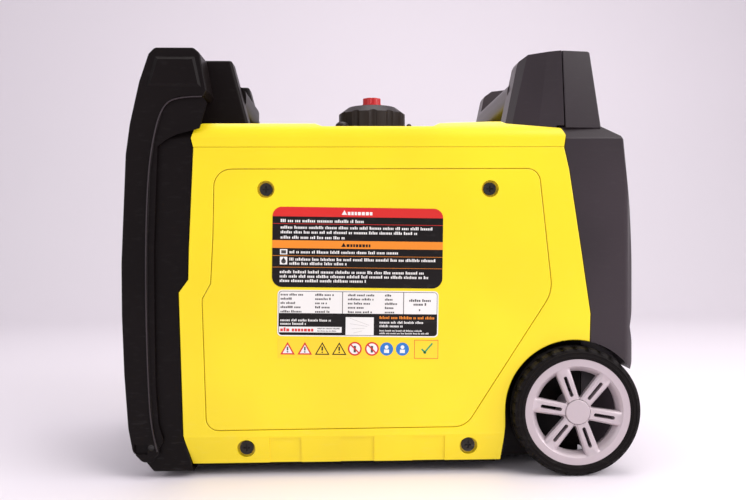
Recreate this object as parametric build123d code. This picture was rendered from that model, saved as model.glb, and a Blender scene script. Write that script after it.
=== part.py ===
"""Portable inverter generator: a closed-frame machine with two wheels, a fold-out pull handle and two
carry handles, made as an assembly of separate sub-parts. One STEP file per sub-part goes to parts/."""

from build123d import *
import math
import os

# The machine stands on the floor at z = 0. X runs along its length, with the control panel and the pull
# handle at -X and the wheels and exhaust at +X. Y runs across it, and the service panel faces -Y.

# ---------------------------------------------------------------- driving dimensions, in millimetres
overall_length = 600.0
body_width = 296.0
side_cover_height = 384.0  # floor to the seam under the top cover
wall = 3.0
seam_gap = 0.6  # between neighbouring covers
touch_gap = 0.3  # between neighbouring parts that must not rub
rim_round = 0.9  # on the outer edges of the yellow covers
cover_round = 1.4  # on the side edges of the black covers
arm_round = 1.8  # along the pull handle's arms
tower_round = 1.0
post_round = 4.0

skirt_bottom = 16.0  # lower edge of the side covers
skirt_top = 48.0  # where the skirt starts to lean inwards
skirt_lean = 7.0

wheel_radius = 75.0
tyre_width = 38.0
tyre_depth = 15.5  # from the tread to the rim seat
lug_count = 32
lug_groove = 5.0
lug_depth = 2.6
arch_clearance = 7.0
axle_radius = 8.0
bush_radius = 12.0
hub_wall = 2.2
hub_cap_radius = 14.3
spoke_count = 6
spoke_bevel = 2.0
running_clearance = 0.05

panel_gap = 0.8  # round the service panel
plate_thickness = 0.35  # of the self-adhesive plates
plate_tilt = 1.0  # degrees that they are out of level
panel_screw_head = 7.4
skirt_screw_head = 8.0
screw_shank = 2.9
screw_hole = 3.3

pull_arm_thickness = 6.0
pull_arm_depth = 40.0
pull_head_depth = 48.0
pull_pin_radius = 3.5
handle_top = 114.0  # above the seam

foot_height = 12.0
tray_floor = 4.0
tray_rim = 44.0

filler_x = -7.0
cap_height = 38.0
neck_radius = 30.0
cap_side = 10.5  # from the neck's thread to the outside of the cap's grip
vent_knob_radius = 13.0

crank_z = 120.0
crank_radius = 12.0
flywheel_radius = 68.0
pulley_radius = 36.0  # at the bottom of its groove
rope_radius = 2.0
outlet_radius = 14.0
outlet_bore = 11.0

# ---------------------------------------------------------------- places that follow from them
half_length = overall_length / 2
side_y = body_width / 2
cover_y = side_y - 1.5  # the black end covers sit a little inside the yellow sides
arch_radius = wheel_radius + arch_clearance
cap_radius = neck_radius + 4.0 + cap_side
pan_radius = cap_radius + 14.5
wheel_x = half_length - wheel_radius
hub_radius = hub_cap_radius + 0.5 + hub_wall
panel_cup = panel_screw_head + 2.6  # bore of the screw cups
skirt_cup = skirt_screw_head + 2.5
cup_wall = 2.0
wheel_z = wheel_radius
wheel_face = side_y + 15.0  # outer face of the tyre
tyre_back = wheel_face - tyre_width
well_y = tyre_back - 13.0  # inner wall of the wheel well
seam_z = side_cover_height
tray_y = side_y - 14.0
recoil_x = -175.0
recoil_z = crank_z + pulley_radius + rope_radius + touch_gap
pull_pin_z = 38.0


def front(distance):
    """X at this distance behind the foremost point."""
    return distance - half_length


def rear(distance):
    """X at this distance ahead of the rearmost point."""
    return half_length - distance


def seam(height):
    """Z at this height above the seam under the top cover."""
    return seam_z + height


# ---------------------------------------------------------------- small modelling helpers
def rounded_face(points, radii):
    """Planar face through 3-D points, with each corner rounded by its radius."""
    return Face(Wire(FilletPolyline(*points, radius=radii, close=True).edges()))


def outline_xz(points, radii=0.0):
    return rounded_face([(x, 0, z) for x, z in points], radii)


def outline_yz(points, radii=0.0):
    return rounded_face([(0, y, z) for y, z in points], radii)


def outline_xy(points, radii=0.0):
    return rounded_face([(x, y, 0) for x, y in points], radii)


def along_y(face, y_from, y_to):
    """Prism of an XZ face between two Y planes."""
    return Pos(0, y_from, 0) * Solid.extrude(face, Vector(0, y_to - y_from, 0))


def along_x(face, x_from, x_to):
    """Prism of a YZ face between two X planes."""
    return Pos(x_from, 0, 0) * Solid.extrude(face, Vector(x_to - x_from, 0, 0))


def along_z(face, z_from, z_to):
    """Prism of an XY face between two Z planes."""
    return Pos(0, 0, z_from) * Solid.extrude(face, Vector(0, 0, z_to - z_from))


def block(x0, x1, y0, y1, z0, z1):
    """Box between two corners."""
    return Pos((x0 + x1) / 2, (y0 + y1) / 2, (z0 + z1) / 2) * Box(x1 - x0, y1 - y0, z1 - z0)


def soft_block(x0, x1, y0, y1, z0, z1, radius):
    """Box between two corners with every edge rounded."""
    box = block(x0, x1, y0, y1, z0, z1)
    return fillet(box.edges(), radius)


def rod_x(x0, x1, y, z, radius):
    return Pos((x0 + x1) / 2, y, z) * Rot(0, 90, 0) * Cylinder(radius, x1 - x0)


def rod_y(y0, y1, x, z, radius):
    return Pos(x, (y0 + y1) / 2, z) * Rot(90, 0, 0) * Cylinder(radius, abs(y1 - y0))


def rod_z(z0, z1, x, y, radius):
    return Pos(x, y, (z0 + z1) / 2) * Cylinder(radius, z1 - z0)


def tube_x(x0, x1, y, z, outer, inner):
    return rod_x(x0, x1, y, z, outer) - rod_x(x0 - 1, x1 + 1, y, z, inner)


def tube_y(y0, y1, x, z, outer, inner):
    low, high = min(y0, y1), max(y0, y1)
    return rod_y(low, high, x, z, outer) - rod_y(low - 1, high + 1, x, z, inner)


def tube_z(z0, z1, x, y, outer, inner):
    return rod_z(z0, z1, x, y, outer) - rod_z(z0 - 1, z1 + 1, x, y, inner)


def grown(face, amount):
    """The face offset outwards, or inwards if negative, with round corners."""
    return offset(face, amount=amount).faces()[0]


def softened(shape, y, radius):
    """The shape with every edge that lies in one XZ plane rounded."""
    def lies_in_plane(edge):
        return all(abs(point.Y - y) < 0.02 for point in (edge @ 0, edge @ 0.5, edge @ 1))
    return fillet(shape.edges().filter_by(lies_in_plane), radius)


def mirrored(shape):
    """The same part on the other side of the machine."""
    return mirror(shape, about=Plane.XZ)


def both_sides(shape):
    return [shape, mirrored(shape)]


def spin_profile(points, centre_x, centre_z, radii=0.0):
    """Solid of revolution about the Y axis through a centre, from (radius, y) points."""
    face = rounded_face([(r, y, 0) for r, y in points], radii)
    turned = revolve(face, Axis.Y, 360)
    return Pos(centre_x, 0, centre_z) * turned.solids()[0]


def spin_profile_x(points, centre_z):
    """Solid of revolution about the X axis at a height, from (radius, x) points."""
    face = rounded_face([(x, r, 0) for r, x in points], 0.0)
    return Pos(0, 0, centre_z) * revolve(face, Axis.X, 360).solids()[0]


def spin_profile_z(points, x, y):
    """Solid of revolution about a vertical axis, from (radius, z) points."""
    face = rounded_face([(r, 0, z) for r, z in points], 0.0)
    return Pos(x, y, 0) * revolve(face, Axis.Z, 360).solids()[0]


def tower(bottom, top, z_low, z_high, corner_round):
    """Tapered column between two plan outlines with the same number of corners, its corners rounded."""
    low = Pos(0, 0, z_low) * outline_xy(bottom)
    high = Pos(0, 0, z_high) * outline_xy(top)
    column = loft([low, high], ruled=True).solids()[0]
    if corner_round == 0:
        return column
    sides = column.edges().filter_by(lambda edge: abs((edge @ 1).Z - (edge @ 0).Z) > 1)
    return fillet(sides, corner_round)


# ---------------------------------------------------------------- outlines shared by the covers
def front_split(gap):
    """Line between the front cover and the yellow covers, from the top down, moved by a gap."""
    return [
        (front(91) - gap, seam(28)),
        (front(83) - gap, seam(20)),
        (front(79.5) - gap, seam(10)),
        (front(82) - gap, seam(0)),
        (front(76) - gap, 266),
        (front(75) - gap, 231),
        (front(64) - gap, 216),
        (front(68) - gap, 50),
        (front(78) - gap, skirt_bottom),
    ]


def rear_split(gap):
    """Line between the yellow covers and the rear cover, from the wheel arch up, moved by a gap."""
    return [
        (rear(57) + gap, wheel_z),
        (rear(57) + gap, 155),
        (rear(56) + gap, 188),
        (rear(67) + gap, 264),
        (rear(81) + gap, seam(-27)),
        (rear(87) + gap, seam(0)),
        (rear(85) + gap, seam(14)),
        (rear(90) + gap, seam(22)),
    ]


def side_outline():
    """Yellow side cover seen from the side, without the wheel arch's round cut."""
    lower_front = front_split(0)[4:]
    lower_rear = rear_split(0)[:5]
    corner = [
        (wheel_x - arch_radius - 5, skirt_bottom),
        (wheel_x - arch_radius, skirt_bottom + 40),
        (wheel_x - arch_radius, wheel_z),
    ]
    top_front = (front(82), seam(-touch_gap))
    top_rear = (rear(87), seam(-touch_gap))
    return [top_front] + lower_front + corner + lower_rear + [top_rear]


def service_outline():
    """Service panel seen from the side, with its corner radii."""
    points = [
        (front(106), seam(-26)),
        (rear(117), seam(-26)),
        (rear(101.5), 214),
        (wheel_x - 129, 57),
        (front(95), 56),
        (front(91), 208),
        (front(101), 226),
        (front(104), 279),
    ]
    return outline_xz(points, [20, 15, 40, 25, 14, 2, 2, 30])


def body_section(inset=0.0, floor=skirt_bottom):
    """Cross section of the yellow body, with the skirt leaning inwards, and open above the seam."""
    y = side_y - inset
    lean = skirt_lean * (skirt_top - floor) / (skirt_top - skirt_bottom)
    points = [
        (-y, seam(60)),
        (-y, skirt_top),
        (-y + lean, floor),
        (y - lean, floor),
        (y, skirt_top),
        (y, seam(60)),
    ]
    return outline_yz(points)


def arch_cutter(radius, inner_y):
    """Space of one wheel arch on the -Y side: the round arch and all that lies below it."""
    outer_y = side_y + 30
    disc = rod_y(-outer_y, -inner_y, wheel_x, wheel_z, radius)
    below = block(wheel_x - radius, half_length + 20, -outer_y, -inner_y, -20, wheel_z)
    behind = block(wheel_x, half_length + 20, -outer_y, -inner_y, wheel_z - 1, wheel_z + 43)
    return disc + below + behind


# ---------------------------------------------------------------- yellow covers
skirt_screw_places = [(front(140), 33.5), (wheel_x - 125, 33.5)]
panel_screw_places = [(front(165), seam(-49)), (rear(174), seam(-49))]
skirt_pads = [(front(167), front(204)), (front(250), front(289)), (rear(266), rear(228))]


def plain_side_cover():
    """Skin of the -Y side cover with its leaning skirt, recessed pads and screw cups."""
    outline = outline_xz(side_outline())
    band = along_x(body_section(), front(50), rear(40)) - along_x(
        body_section(wall, skirt_bottom - 20), front(40), rear(30)
    )
    skin = band & along_y(outline, -side_y - 1, -side_y + skirt_lean + wall + 1)
    skin = skin - arch_cutter(arch_radius, side_y - 20)
    for x0, x1 in skirt_pads:
        y = -side_y
        lean = [(y - 5, 46), (y + 1.9, 46), (y + 9.2, 12), (y - 5, 12)]
        skin = skin - along_x(outline_yz(lean), x0, x1)
    inside = along_x(body_section(), front(50), rear(40))
    for x, z in skirt_screw_places:
        cup = rod_y(-side_y, -side_y + 14, x, z, skirt_cup + cup_wall) & inside
        skin = skin + cup
        skin = skin - rod_y(-side_y - 1, -side_y + 11, x, z, skirt_cup)
        skin = skin - rod_y(-side_y, -side_y + 15, x, z, screw_hole)
    return skin


def left_side_cover():
    """The -Y side cover, with a window and a ledge behind the service panel and its screw tabs."""
    cover = plain_side_cover()
    panel = service_outline()
    cover = cover - along_y(grown(panel, panel_gap), -side_y - 1, -side_y + wall + 1)
    cover = softened(cover, -side_y, rim_round)
    ledge = along_y(grown(panel, 7.0), -side_y + wall, -side_y + wall + 2.4)
    ledge = ledge - along_y(grown(panel, -9.0), -side_y, -side_y + wall + 5)
    cover = cover + ledge
    y_tab = -side_y + 10.4
    half_tab = panel_cup + cup_wall + 1
    for x, z in panel_screw_places:
        tab = block(x - half_tab, x + half_tab, y_tab, y_tab + 4, z - half_tab, z + half_tab + 8)
        top = z + half_tab + 8
        riser = block(x - half_tab, x + half_tab, -side_y + wall + 1, y_tab + 1, top - 7, top)
        cover = cover + tab + riser - rod_y(y_tab - 1, y_tab + 6, x, z, screw_hole)
    return cover


def right_side_cover():
    """The +Y side cover, with cooling slots and a round recess for the recoil grip."""
    cover = mirrored(softened(plain_side_cover(), -side_y, rim_round))
    for row in range(7):
        z = 300 - 13 * row
        for column in range(3):
            x = -60 + 62 * column
            cover = cover - block(x, x + 50, side_y - 10, side_y + 10, z, z + 5)
    seat = rod_y(side_y - 22, side_y - 0.5, recoil_x, recoil_z, 30)
    seat = seat - rod_y(side_y - 19, side_y + 1, recoil_x, recoil_z, 27)
    cover = cover - rod_y(side_y - 5, side_y + 1, recoil_x, recoil_z, 27)
    cover = cover + seat - rod_y(side_y - 30, side_y, recoil_x, recoil_z, 5)
    return cover


def service_panel():
    """Removable panel over the oil filler, with two screw cups and two hooks along its lower edge."""
    outline = service_outline()
    panel = along_y(outline, -side_y, -side_y + wall - touch_gap)
    panel = softened(panel, -side_y, rim_round)
    for x, z in panel_screw_places:
        cup = rod_y(-side_y, -side_y + 10, x, z, panel_cup + cup_wall)
        panel = panel + cup - rod_y(-side_y - 1, -side_y + 7, x, z, panel_cup)
        panel = panel - rod_y(-side_y, -side_y + 12, x, z, screw_hole)
    inner_ribs = [front(200), rear(200)]
    for x in inner_ribs:
        panel = panel + block(x, x + 2.4, -side_y + 1, -side_y + 8, 100, seam(-80))
    return panel


def pan_head_screw(x, z, seat_y, head, shank_length, direction):
    """Pan-head screw with a cross recess, its head seated at seat_y and its shank running inwards."""
    crown = rod_y(seat_y - direction * 3.2, seat_y, x, z, head)
    shank = rod_y(seat_y, seat_y + direction * shank_length, x, z, screw_shank)
    slot_y0, slot_y1 = sorted((seat_y - direction * 4, seat_y - direction * 1.2))
    slots = block(x - 4, x + 4, slot_y0, slot_y1, z - 0.8, z + 0.8)
    slots = slots + block(x - 0.8, x + 0.8, slot_y0, slot_y1, z - 4, z + 4)
    return crown + shank - slots


def panel_screws():
    seat = -side_y + 7
    return [pan_head_screw(x, z, seat, panel_screw_head, 12, 1) for x, z in panel_screw_places]


def skirt_screws():
    seat = -side_y + 11
    near = [pan_head_screw(x, z, seat, skirt_screw_head, 9, 1) for x, z in skirt_screw_places]
    return near + [mirrored(screw) for screw in near]


def label_plates():
    """Three self-adhesive plates on the service panel: warnings, rating data and symbols."""
    centre = (front(272) + rear(330)) / 2
    plates = []
    for half_x, half_z, z, radius in (
        (99, 46.5, seam(-117.2), 12),
        (93.5, 26.9, seam(-193.8), 5),
        (93.5, 11.3, seam(-234.7), 1),
    ):
        corners = [(-half_x, -half_z), (half_x, -half_z), (half_x, half_z), (-half_x, half_z)]
        plate = along_y(outline_xz(corners, radius), -plate_thickness, 0)
        plates.append(Pos(centre, -side_y, z) * Rot(0, plate_tilt, 0) * plate)
    return plates


def top_profile():
    """Top cover seen from the side: raised shoulders before and behind a dip round the fuel cap."""
    return front_split(0)[:4][::-1] + [
        (filler_x - 71, seam(28)),
        (filler_x - 63, seam(24.5)),
        (filler_x + 67, seam(24.5)),
        (filler_x + 75, seam(28.5)),
        (rear(170), seam(31)),
        (rear(159), seam(31)),
        (rear(154), seam(28)),
    ] + rear_split(0)[5:][::-1]


def top_section(inset, floor):
    """Cross section of the top cover, with large round shoulders."""
    y = side_y - inset
    points = [(-y, floor), (-y, seam(34 - inset)), (y, seam(34 - inset)), (y, floor)]
    return outline_yz(points, [0, 24, 24, 0])


def top_outer():
    profile = outline_xz(top_profile(), [0, 3, 6, 4] + [3] * 7 + [4, 4, 0])
    return along_y(profile, -side_y, side_y) & along_x(top_section(0, seam(0)), front(60), rear(60))


def top_inner():
    profile = outline_xz(top_profile())
    inner = along_y(grown(profile, -wall), -side_y, side_y)
    inner = inner + Pos(0, 0, -8) * inner
    return inner & along_x(top_section(wall, seam(-20)), front(60), rear(60))


def top_cover():
    """Yellow top shell with a round pan and a hole for the fuel filler."""
    pan_floor = seam(18)
    pan = rod_z(pan_floor - wall, seam(25), filler_x, 0, pan_radius + wall)
    cover = top_outer() - top_inner()
    cover = cover + (pan & top_outer())
    cover = cover - rod_z(pan_floor, seam(40), filler_x, 0, pan_radius)
    return cover - rod_z(seam(-5), seam(40), filler_x, 0, neck_radius + 4)


# ---------------------------------------------------------------- black end covers
def end_section(inset):
    """Cross section of the end covers, with a sloping shoulder on each side."""
    y = cover_y - inset
    points = [
        (-y, 8 + inset),
        (y, 8 + inset),
        (y, seam(10)),
        (y - 8, seam(25 - inset)),
        (-y + 8, seam(25 - inset)),
        (-y, seam(10)),
    ]
    return outline_yz(points, [4, 4, 3, 2, 2, 3])


def soft_prism(profile):
    """Prism as wide as the end covers, with its side edges rounded."""
    prism = along_y(profile, -cover_y, cover_y)
    for y in (-cover_y, cover_y):
        prism = softened(prism, y, cover_round)
    return prism


front_nose = 20.0
front_face = 34.0


def front_profile():
    outer = [
        (front(60), seam(25)),
        (front(42), seam(10)),
        (front(front_face), seam(4)),
        (front(front_face), 72),
        (front(front_nose), 60),
        (front(front_nose), 26),
        (front(34), 8),
        (front(79), 8),
    ]
    split = front_split(seam_gap)
    return outline_xz(split[:1] + outer + split[::-1][:-1], [0, 4, 3, 3, 3, 5, 6, 6] + [0] * 9)


def front_plan(inset):
    x = front(front_nose + inset)
    y = cover_y - inset
    return outline_xy([(x, -y), (front(130), -y), (front(130), y), (x, y)], [9, 0, 0, 9])


def front_solid(inset):
    profile = front_profile()
    if inset:
        body = along_y(grown(profile, -inset), -cover_y, cover_y)
        body = body + Pos(3 * wall, 0, 0) * body
    else:
        body = soft_prism(profile)
    body = body & along_x(end_section(inset), front(0), front(130))
    return body & along_z(front_plan(inset), 0, seam(60))


panel_opening = (104.0, 112.0, seam_z - 12.0)  # half width, bottom and top


def front_end_cover():
    """Black front cover: a shell with an opening for the control panel and intake slots below it."""
    cover = front_solid(0) - front_solid(wall)
    half, low, high = panel_opening
    window = outline_yz([(-half, low), (half, low), (half, high), (-half, high)], 8)
    cover = cover - along_x(window, front(front_face - 5), front(front_face + 6))
    for row in range(3):
        z = 78 + 10 * row
        cover = cover - block(front(front_face - 5), front(front_face + 6), -92, 92, z, z + 5)
    for side in (-1, 1):
        y0, y1 = sorted((side * (cover_y - 12), side * (cover_y - 1)))
        x0, x1 = front(front_nose + 1), front(front_nose + 26)
        cover = cover + block(x0, x1, y0, y1, pull_pin_z - 11, pull_pin_z + 11)
        low, high = side * (cover_y - 13), side * (cover_y + 1)
        cover = cover - rod_y(low, high, pull_x, pull_pin_z, pull_pin_radius)
    return cover


pull_x = front(32)


def rear_profile():
    outer = [
        (rear(57) + seam_gap, 22),
        (rear(26), 14),
        (rear(13), 30),
        (rear(9), 118),
        (rear(4), 131),
        (rear(3), 148),
        (rear(8), 172),
        (rear(3), 196),
        (rear(4), 247),
        (rear(8), 311),
        (rear(16), seam(9)),
        (rear(19), seam(13)),
        (rear(41), seam(25)),
        (rear(94), seam(25)),
    ]
    split = rear_split(seam_gap)
    return outline_xz(outer + split[::-1], [0, 8, 10, 4, 3, 6, 3, 6, 30, 30, 4, 3, 3, 0] + [0] * 8)


def rear_plan(inset):
    x = rear(3 + inset)
    y = cover_y - inset
    return outline_xy([(rear(130), -y), (x, -y), (x, y), (rear(130), y)], [0, 12, 12, 0])


def rear_solid(inset):
    profile = rear_profile()
    if inset:
        body = along_y(grown(profile, -inset), -cover_y, cover_y)
        body = body + Pos(-3 * wall, 0, 0) * body
    else:
        body = soft_prism(profile)
    body = body & along_x(end_section(inset), rear(130), rear(0))
    body = body & along_z(rear_plan(inset), 0, seam(60))
    well = arch_cutter(arch_radius + inset, well_y - inset)
    return body - well - mirrored(well)


rear_tower_low = [(-84, -96), (-84, -144), (-41, -141), (-41, -96)]
rear_tower_high = [(-87, -100), (-87, -141), (-54, -138), (-54, -100)]
tower_foot = 25.0
outlet_y = 45.0
outlet_z = 152.0


def shifted(points, dx, dy):
    return [(x + dx, y + dy) for x, y in points]


def rear_end_cover():
    """Black rear cover: a shell with louvres, a hole for the exhaust and two handle towers."""
    cover = rear_solid(0) - rear_solid(wall)
    for row in range(11):
        z = 196 + 14 * row
        cover = cover - block(rear(20), rear(-5), -92, 92, z, z + 8)
    cover = cover - rod_x(rear(20), rear(-5), outlet_y, outlet_z, 24)
    post = tower(
        shifted(rear_tower_low, half_length, 148 - side_y),
        shifted(rear_tower_high, half_length, 148 - side_y),
        seam(tower_foot - 2),
        seam(handle_top),
        tower_round,
    )
    profile = outline_xz(
        [(rear(110), seam(0)), (rear(20), seam(0)), (rear(54), seam(113)), (rear(110), seam(114))],
        [0, 0, 5, 0],
    )
    post = post & along_y(profile, -side_y, 0)
    return cover + post + mirrored(post)


# ---------------------------------------------------------------- carry handles
def rear_carry_handle():
    """Faceted towers and a grip bar across the rear end of the top cover."""
    dy = 148 - side_y
    low = [(-157, -96), (-157, -132), (-150, -137), (-117, -142), (-85, -144), (-85, -96)]
    high = [(-135, -100), (-135, -128), (-126, -134), (-104, -139), (-88, -141), (-88, -100)]
    low = shifted(low, half_length, dy)
    high = shifted(high, half_length, dy)
    near = tower(low, high, seam(10), seam(handle_top), 0)
    face = rear(85) - seam_gap
    shoulder = rear(94) - seam_gap
    ledge = seam(25) + seam_gap
    crown = [
        (rear(170), seam(0)),
        (shoulder, seam(0)),
        (shoulder, ledge),
        (face, ledge),
        (face, seam(114)),
        (rear(100), seam(113)),
        (rear(126), seam(110)),
        (rear(136), seam(103)),
        (rear(170), seam(40)),
    ]
    near = near & along_y(outline_xz(crown), -side_y, 0)
    grip = outline_xz(
        [(rear(145), seam(54)), (rear(107), seam(54)), (rear(107), seam(84)), (rear(145), seam(84))], 12
    )
    bar = along_y(grip, -(side_y - 42), side_y - 42)
    handle = bar + near + mirrored(near)
    return handle - top_outer()


def front_carry_handle():
    """Two posts and a grip bar across the front end, between the heads of the pull handle."""
    outer = side_y - pull_head_depth + 3.5
    low = [(78, -outer + 38), (78, -outer), (146, -outer), (146, -outer + 38)]
    high = [(86, -outer + 34), (86, -outer + 3), (120, -outer + 3), (120, -outer + 34)]
    low = shifted(low, -half_length, 0)
    high = shifted(high, -half_length, 0)
    near = tower(low, high, seam(10), seam(handle_top - 4), post_round)
    near = fillet(near.edges().group_by(Axis.Z)[-1], post_round - 1)
    grip = outline_xz(
        [(front(96), seam(54)), (front(134), seam(54)), (front(134), seam(84)), (front(96), seam(84))], 12
    )
    bar = along_y(grip, -(outer - 30), outer - 30)
    handle = near + mirrored(near) + bar
    return handle - top_outer() - front_solid(0)


# ---------------------------------------------------------------- pull handle
def arm_outline():
    """Arm of the pull handle seen from the side: a crescent that ends in a broad head."""
    outer_edge = [
        (front(22), seam(74)),
        (front(11), seam(26)),
        (front(6), seam(-9)),
        (front(0), 250),
        (front(0), 190),
        (front(2), 123),
        (front(6), 60),
        (front(11), 33),
        (front(22), 21),
    ]
    inner_edge = [
        (front(33), 21),
        (front(42), 30),
        (front(35), 56),
        (front(32), 108),
        (front(30), 180),
        (front(30), 266),
        (front(34), seam(-30)),
        (front(40), seam(12)),
        (front(50), seam(46)),
        (front(66), seam(57)),
    ]
    head = [
        (front(95), seam(57)),
        (front(98.5), seam(64)),
        (front(91), seam(107)),
        (front(84), seam(113)),
        (front(40), seam(113)),
        (front(33), seam(106)),
    ]
    radii = [20, 60, 60, 200, 200, 200, 60, 14, 8]
    radii = radii + [4, 4, 20, 60, 100, 100, 60, 40, 26, 14] + [3, 4, 6, 6, 7, 6]
    return outline_xz(outer_edge + inner_edge + head, radii)


def pull_arm():
    """The -Y arm: a thin outer skin, a hollow web in front of the cover, and a solid grip head."""
    outline = arm_outline()
    outer = -side_y - 5.0
    skin_back = outer + pull_arm_thickness - touch_gap
    web_region = block(front(-1), front(front_face - 2), -side_y - 5, 0, 78, seam(17))
    web_region = web_region + block(front(-1), front(110), -side_y - 5, 0, seam(16), seam(57))
    web = along_y(outline, outer + arm_round, outer + pull_arm_depth) & web_region
    pocket = along_y(grown(outline, -3.5), skin_back, outer + pull_arm_depth + 1)
    pocket = pocket & block(front(-1), front(front_face - 5), -side_y, 0, 82, seam(54))
    head_region = block(front(-1), front(110), -side_y - 5, 0, seam(52), seam(120))
    head = along_y(outline, outer + arm_round, outer + pull_head_depth) & head_region
    skin = softened(along_y(outline, outer, skin_back), outer, arm_round)
    arm = skin + (web - pocket) + head
    pad_low = [(front(40), seam(103)), (front(86), seam(103)), (front(93), seam(67)), (front(30), seam(68))]
    pad_high = [(front(44), seam(99)), (front(83), seam(99)), (front(89), seam(71)), (front(35.5), seam(72))]
    low = Pos(0, outer + 0.5, 0) * outline_xz(pad_low)
    high = Pos(0, outer - 2.4, 0) * outline_xz(pad_high)
    arm = arm + loft([low, high], ruled=True).solids()[0]
    notch = block(front(13), front(28), outer - 1, outer + 3.6, 30, 42)
    arm = arm - notch
    return arm - rod_y(outer - 1, -side_y + 1, pull_x, pull_pin_z, pull_pin_radius + 0.1)


def pull_grip():
    """Grip bar between the two heads of the pull handle, with finger waves underneath."""
    section = outline_xz(
        [(front(22), seam(74)), (front(50), seam(74)), (front(50), seam(102)), (front(26), seam(102))],
        [9, 9, 11, 11],
    )
    half = side_y + 5 - pull_head_depth
    return along_y(section, -half, half)


def pull_pins():
    """Shouldered pins that join the pull handle to the front cover."""
    outer = -side_y - 5.0
    shank = rod_y(outer + 0.8, -cover_y + 12.5, pull_x, pull_pin_z, pull_pin_radius)
    return both_sides(shank)


# ---------------------------------------------------------------- wheels and axle
def tyre():
    """Moulded rubber tyre with a ribbed sidewall and lugs across both shoulders."""
    bead = wheel_radius - tyre_depth
    face, back = -wheel_face, -tyre_back
    middle = (face + back) / 2
    section = [
        (bead, face + 3.2),
        (bead + 2.3, face + 3.2),
        (bead + 2.3, face + 0.8),
        (wheel_radius - 6, face),
        (wheel_radius, face + 5),
        (wheel_radius, back - 5),
        (wheel_radius - 6, back),
        (bead, back - 1.0),
    ]
    ring = spin_profile(section, wheel_x, wheel_z, [0, 0, 0, 4, 5, 5, 4, 0])
    cutters = []
    for index in range(lug_count):
        turn = 360 / lug_count * index
        for shift, y0, y1 in ((0, face - 1, middle - 7), (180 / lug_count, middle + 7, back + 1)):
            notch = block(-lug_groove / 2, lug_groove / 2, y0, y1, wheel_radius - lug_depth, wheel_radius + 2)
            cutters.append(Pos(wheel_x, 0, wheel_z) * Rot(0, turn + shift, 0) * notch)
    return ring - cutters


def spoke(turn):
    """One spoke of two bars with a slot between them and a wider foot at the rim."""
    face = -wheel_face + 1.5
    outline = outline_xz([(-7.2, 12), (7.2, 12), (8.6, 50), (6.0, 58), (-6.0, 58), (-8.6, 50)])
    body = along_y(outline, face, face + 9)
    body = chamfer(body.faces().sort_by(Axis.Y)[0].edges(), spoke_bevel)
    slot = outline_xz([(-2.1, 19), (2.1, 19), (2.1, 44), (-2.1, 44)], 2.0)
    body = body - along_y(slot, face - 1, face + 12)
    return Pos(wheel_x, 0, wheel_z) * Rot(0, turn, 0) * body


def rim():
    """Six-spoke wheel centre with a dished barrel and a hub bored for the bush."""
    bead = wheel_radius - tyre_depth
    face, back = -wheel_face + 1.0, -tyre_back - 1.0
    section = [
        (bead + 2.0, face),
        (bead - 6.0, face),
        (bead - 9.0, face + 3),
        (bead - 12.5, face + 9),
        (bead - 12.5, face + 13),
        (bead - 4.0, face + 17),
        (bead - 4.0, back),
        (bead, back),
        (bead, face + 2.0),
        (bead + 2.0, face + 2.0),
    ]
    wheel = spin_profile(section, wheel_x, wheel_z)
    hub = rod_y(face + 3, back, wheel_x, wheel_z, hub_radius)
    wheel = wheel + hub
    for index in range(spoke_count):
        one = spoke(360 / spoke_count * index + 10)
        wheel = wheel + (one & rod_y(face, face + 12, wheel_x, wheel_z, bead - 3))
    wheel = wheel - rod_y(face - 1, back + 1, wheel_x, wheel_z, bush_radius)
    return wheel - rod_y(face - 1, face + 9, wheel_x, wheel_z, hub_cap_radius + 0.5)


def hub_cap():
    """Domed cap that snaps into the wheel's hub."""
    face = -wheel_face + 0.6
    cap = rod_y(face, face + 3, wheel_x, wheel_z, hub_cap_radius)
    cap = fillet(cap.edges().filter_by(GeomType.CIRCLE).sort_by(Axis.Y)[0], 1.2)
    return cap + tube_y(face + 2, face + 8, wheel_x, wheel_z, hub_cap_radius, hub_cap_radius - 2)


def wheel_bush():
    """Plain bush between the wheel's hub and the axle."""
    y0, y1 = -wheel_face + 10, -tyre_back - 1
    return tube_y(y0, y1, wheel_x, wheel_z, bush_radius, axle_radius + running_clearance)


axle_end = wheel_face - 5.0


def axle():
    """Steel axle rod with a clip groove near each end."""
    rod = rod_y(-axle_end, axle_end, wheel_x, wheel_z, axle_radius)
    for y in (-axle_end + 2.0, axle_end - 3.5):
        rod = rod - tube_y(y, y + 1.5, wheel_x, wheel_z, axle_radius + 1, axle_radius - 1)
    return rod


def axle_clips():
    """Circlips that hold the wheels on the axle."""
    clip = tube_y(-axle_end + 2.1, -axle_end + 3.4, wheel_x, wheel_z, 10.5, axle_radius - 1)
    clip = clip - block(wheel_x - 2, wheel_x + 2, -axle_end, -axle_end + 5, wheel_z, wheel_z + 20)
    return both_sides(clip)


# ---------------------------------------------------------------- chassis
def tray_outline():
    x_step = wheel_x - arch_radius - 9
    narrow = well_y - wall - 0.5
    points = [
        (front(66), -tray_y),
        (x_step, -tray_y),
        (x_step, -narrow),
        (rear(60), -narrow),
        (rear(60), narrow),
        (x_step, narrow),
        (x_step, tray_y),
        (front(66), tray_y),
    ]
    return outline_xy(points, [10, 4, 4, 3, 3, 4, 4, 10])


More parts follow.
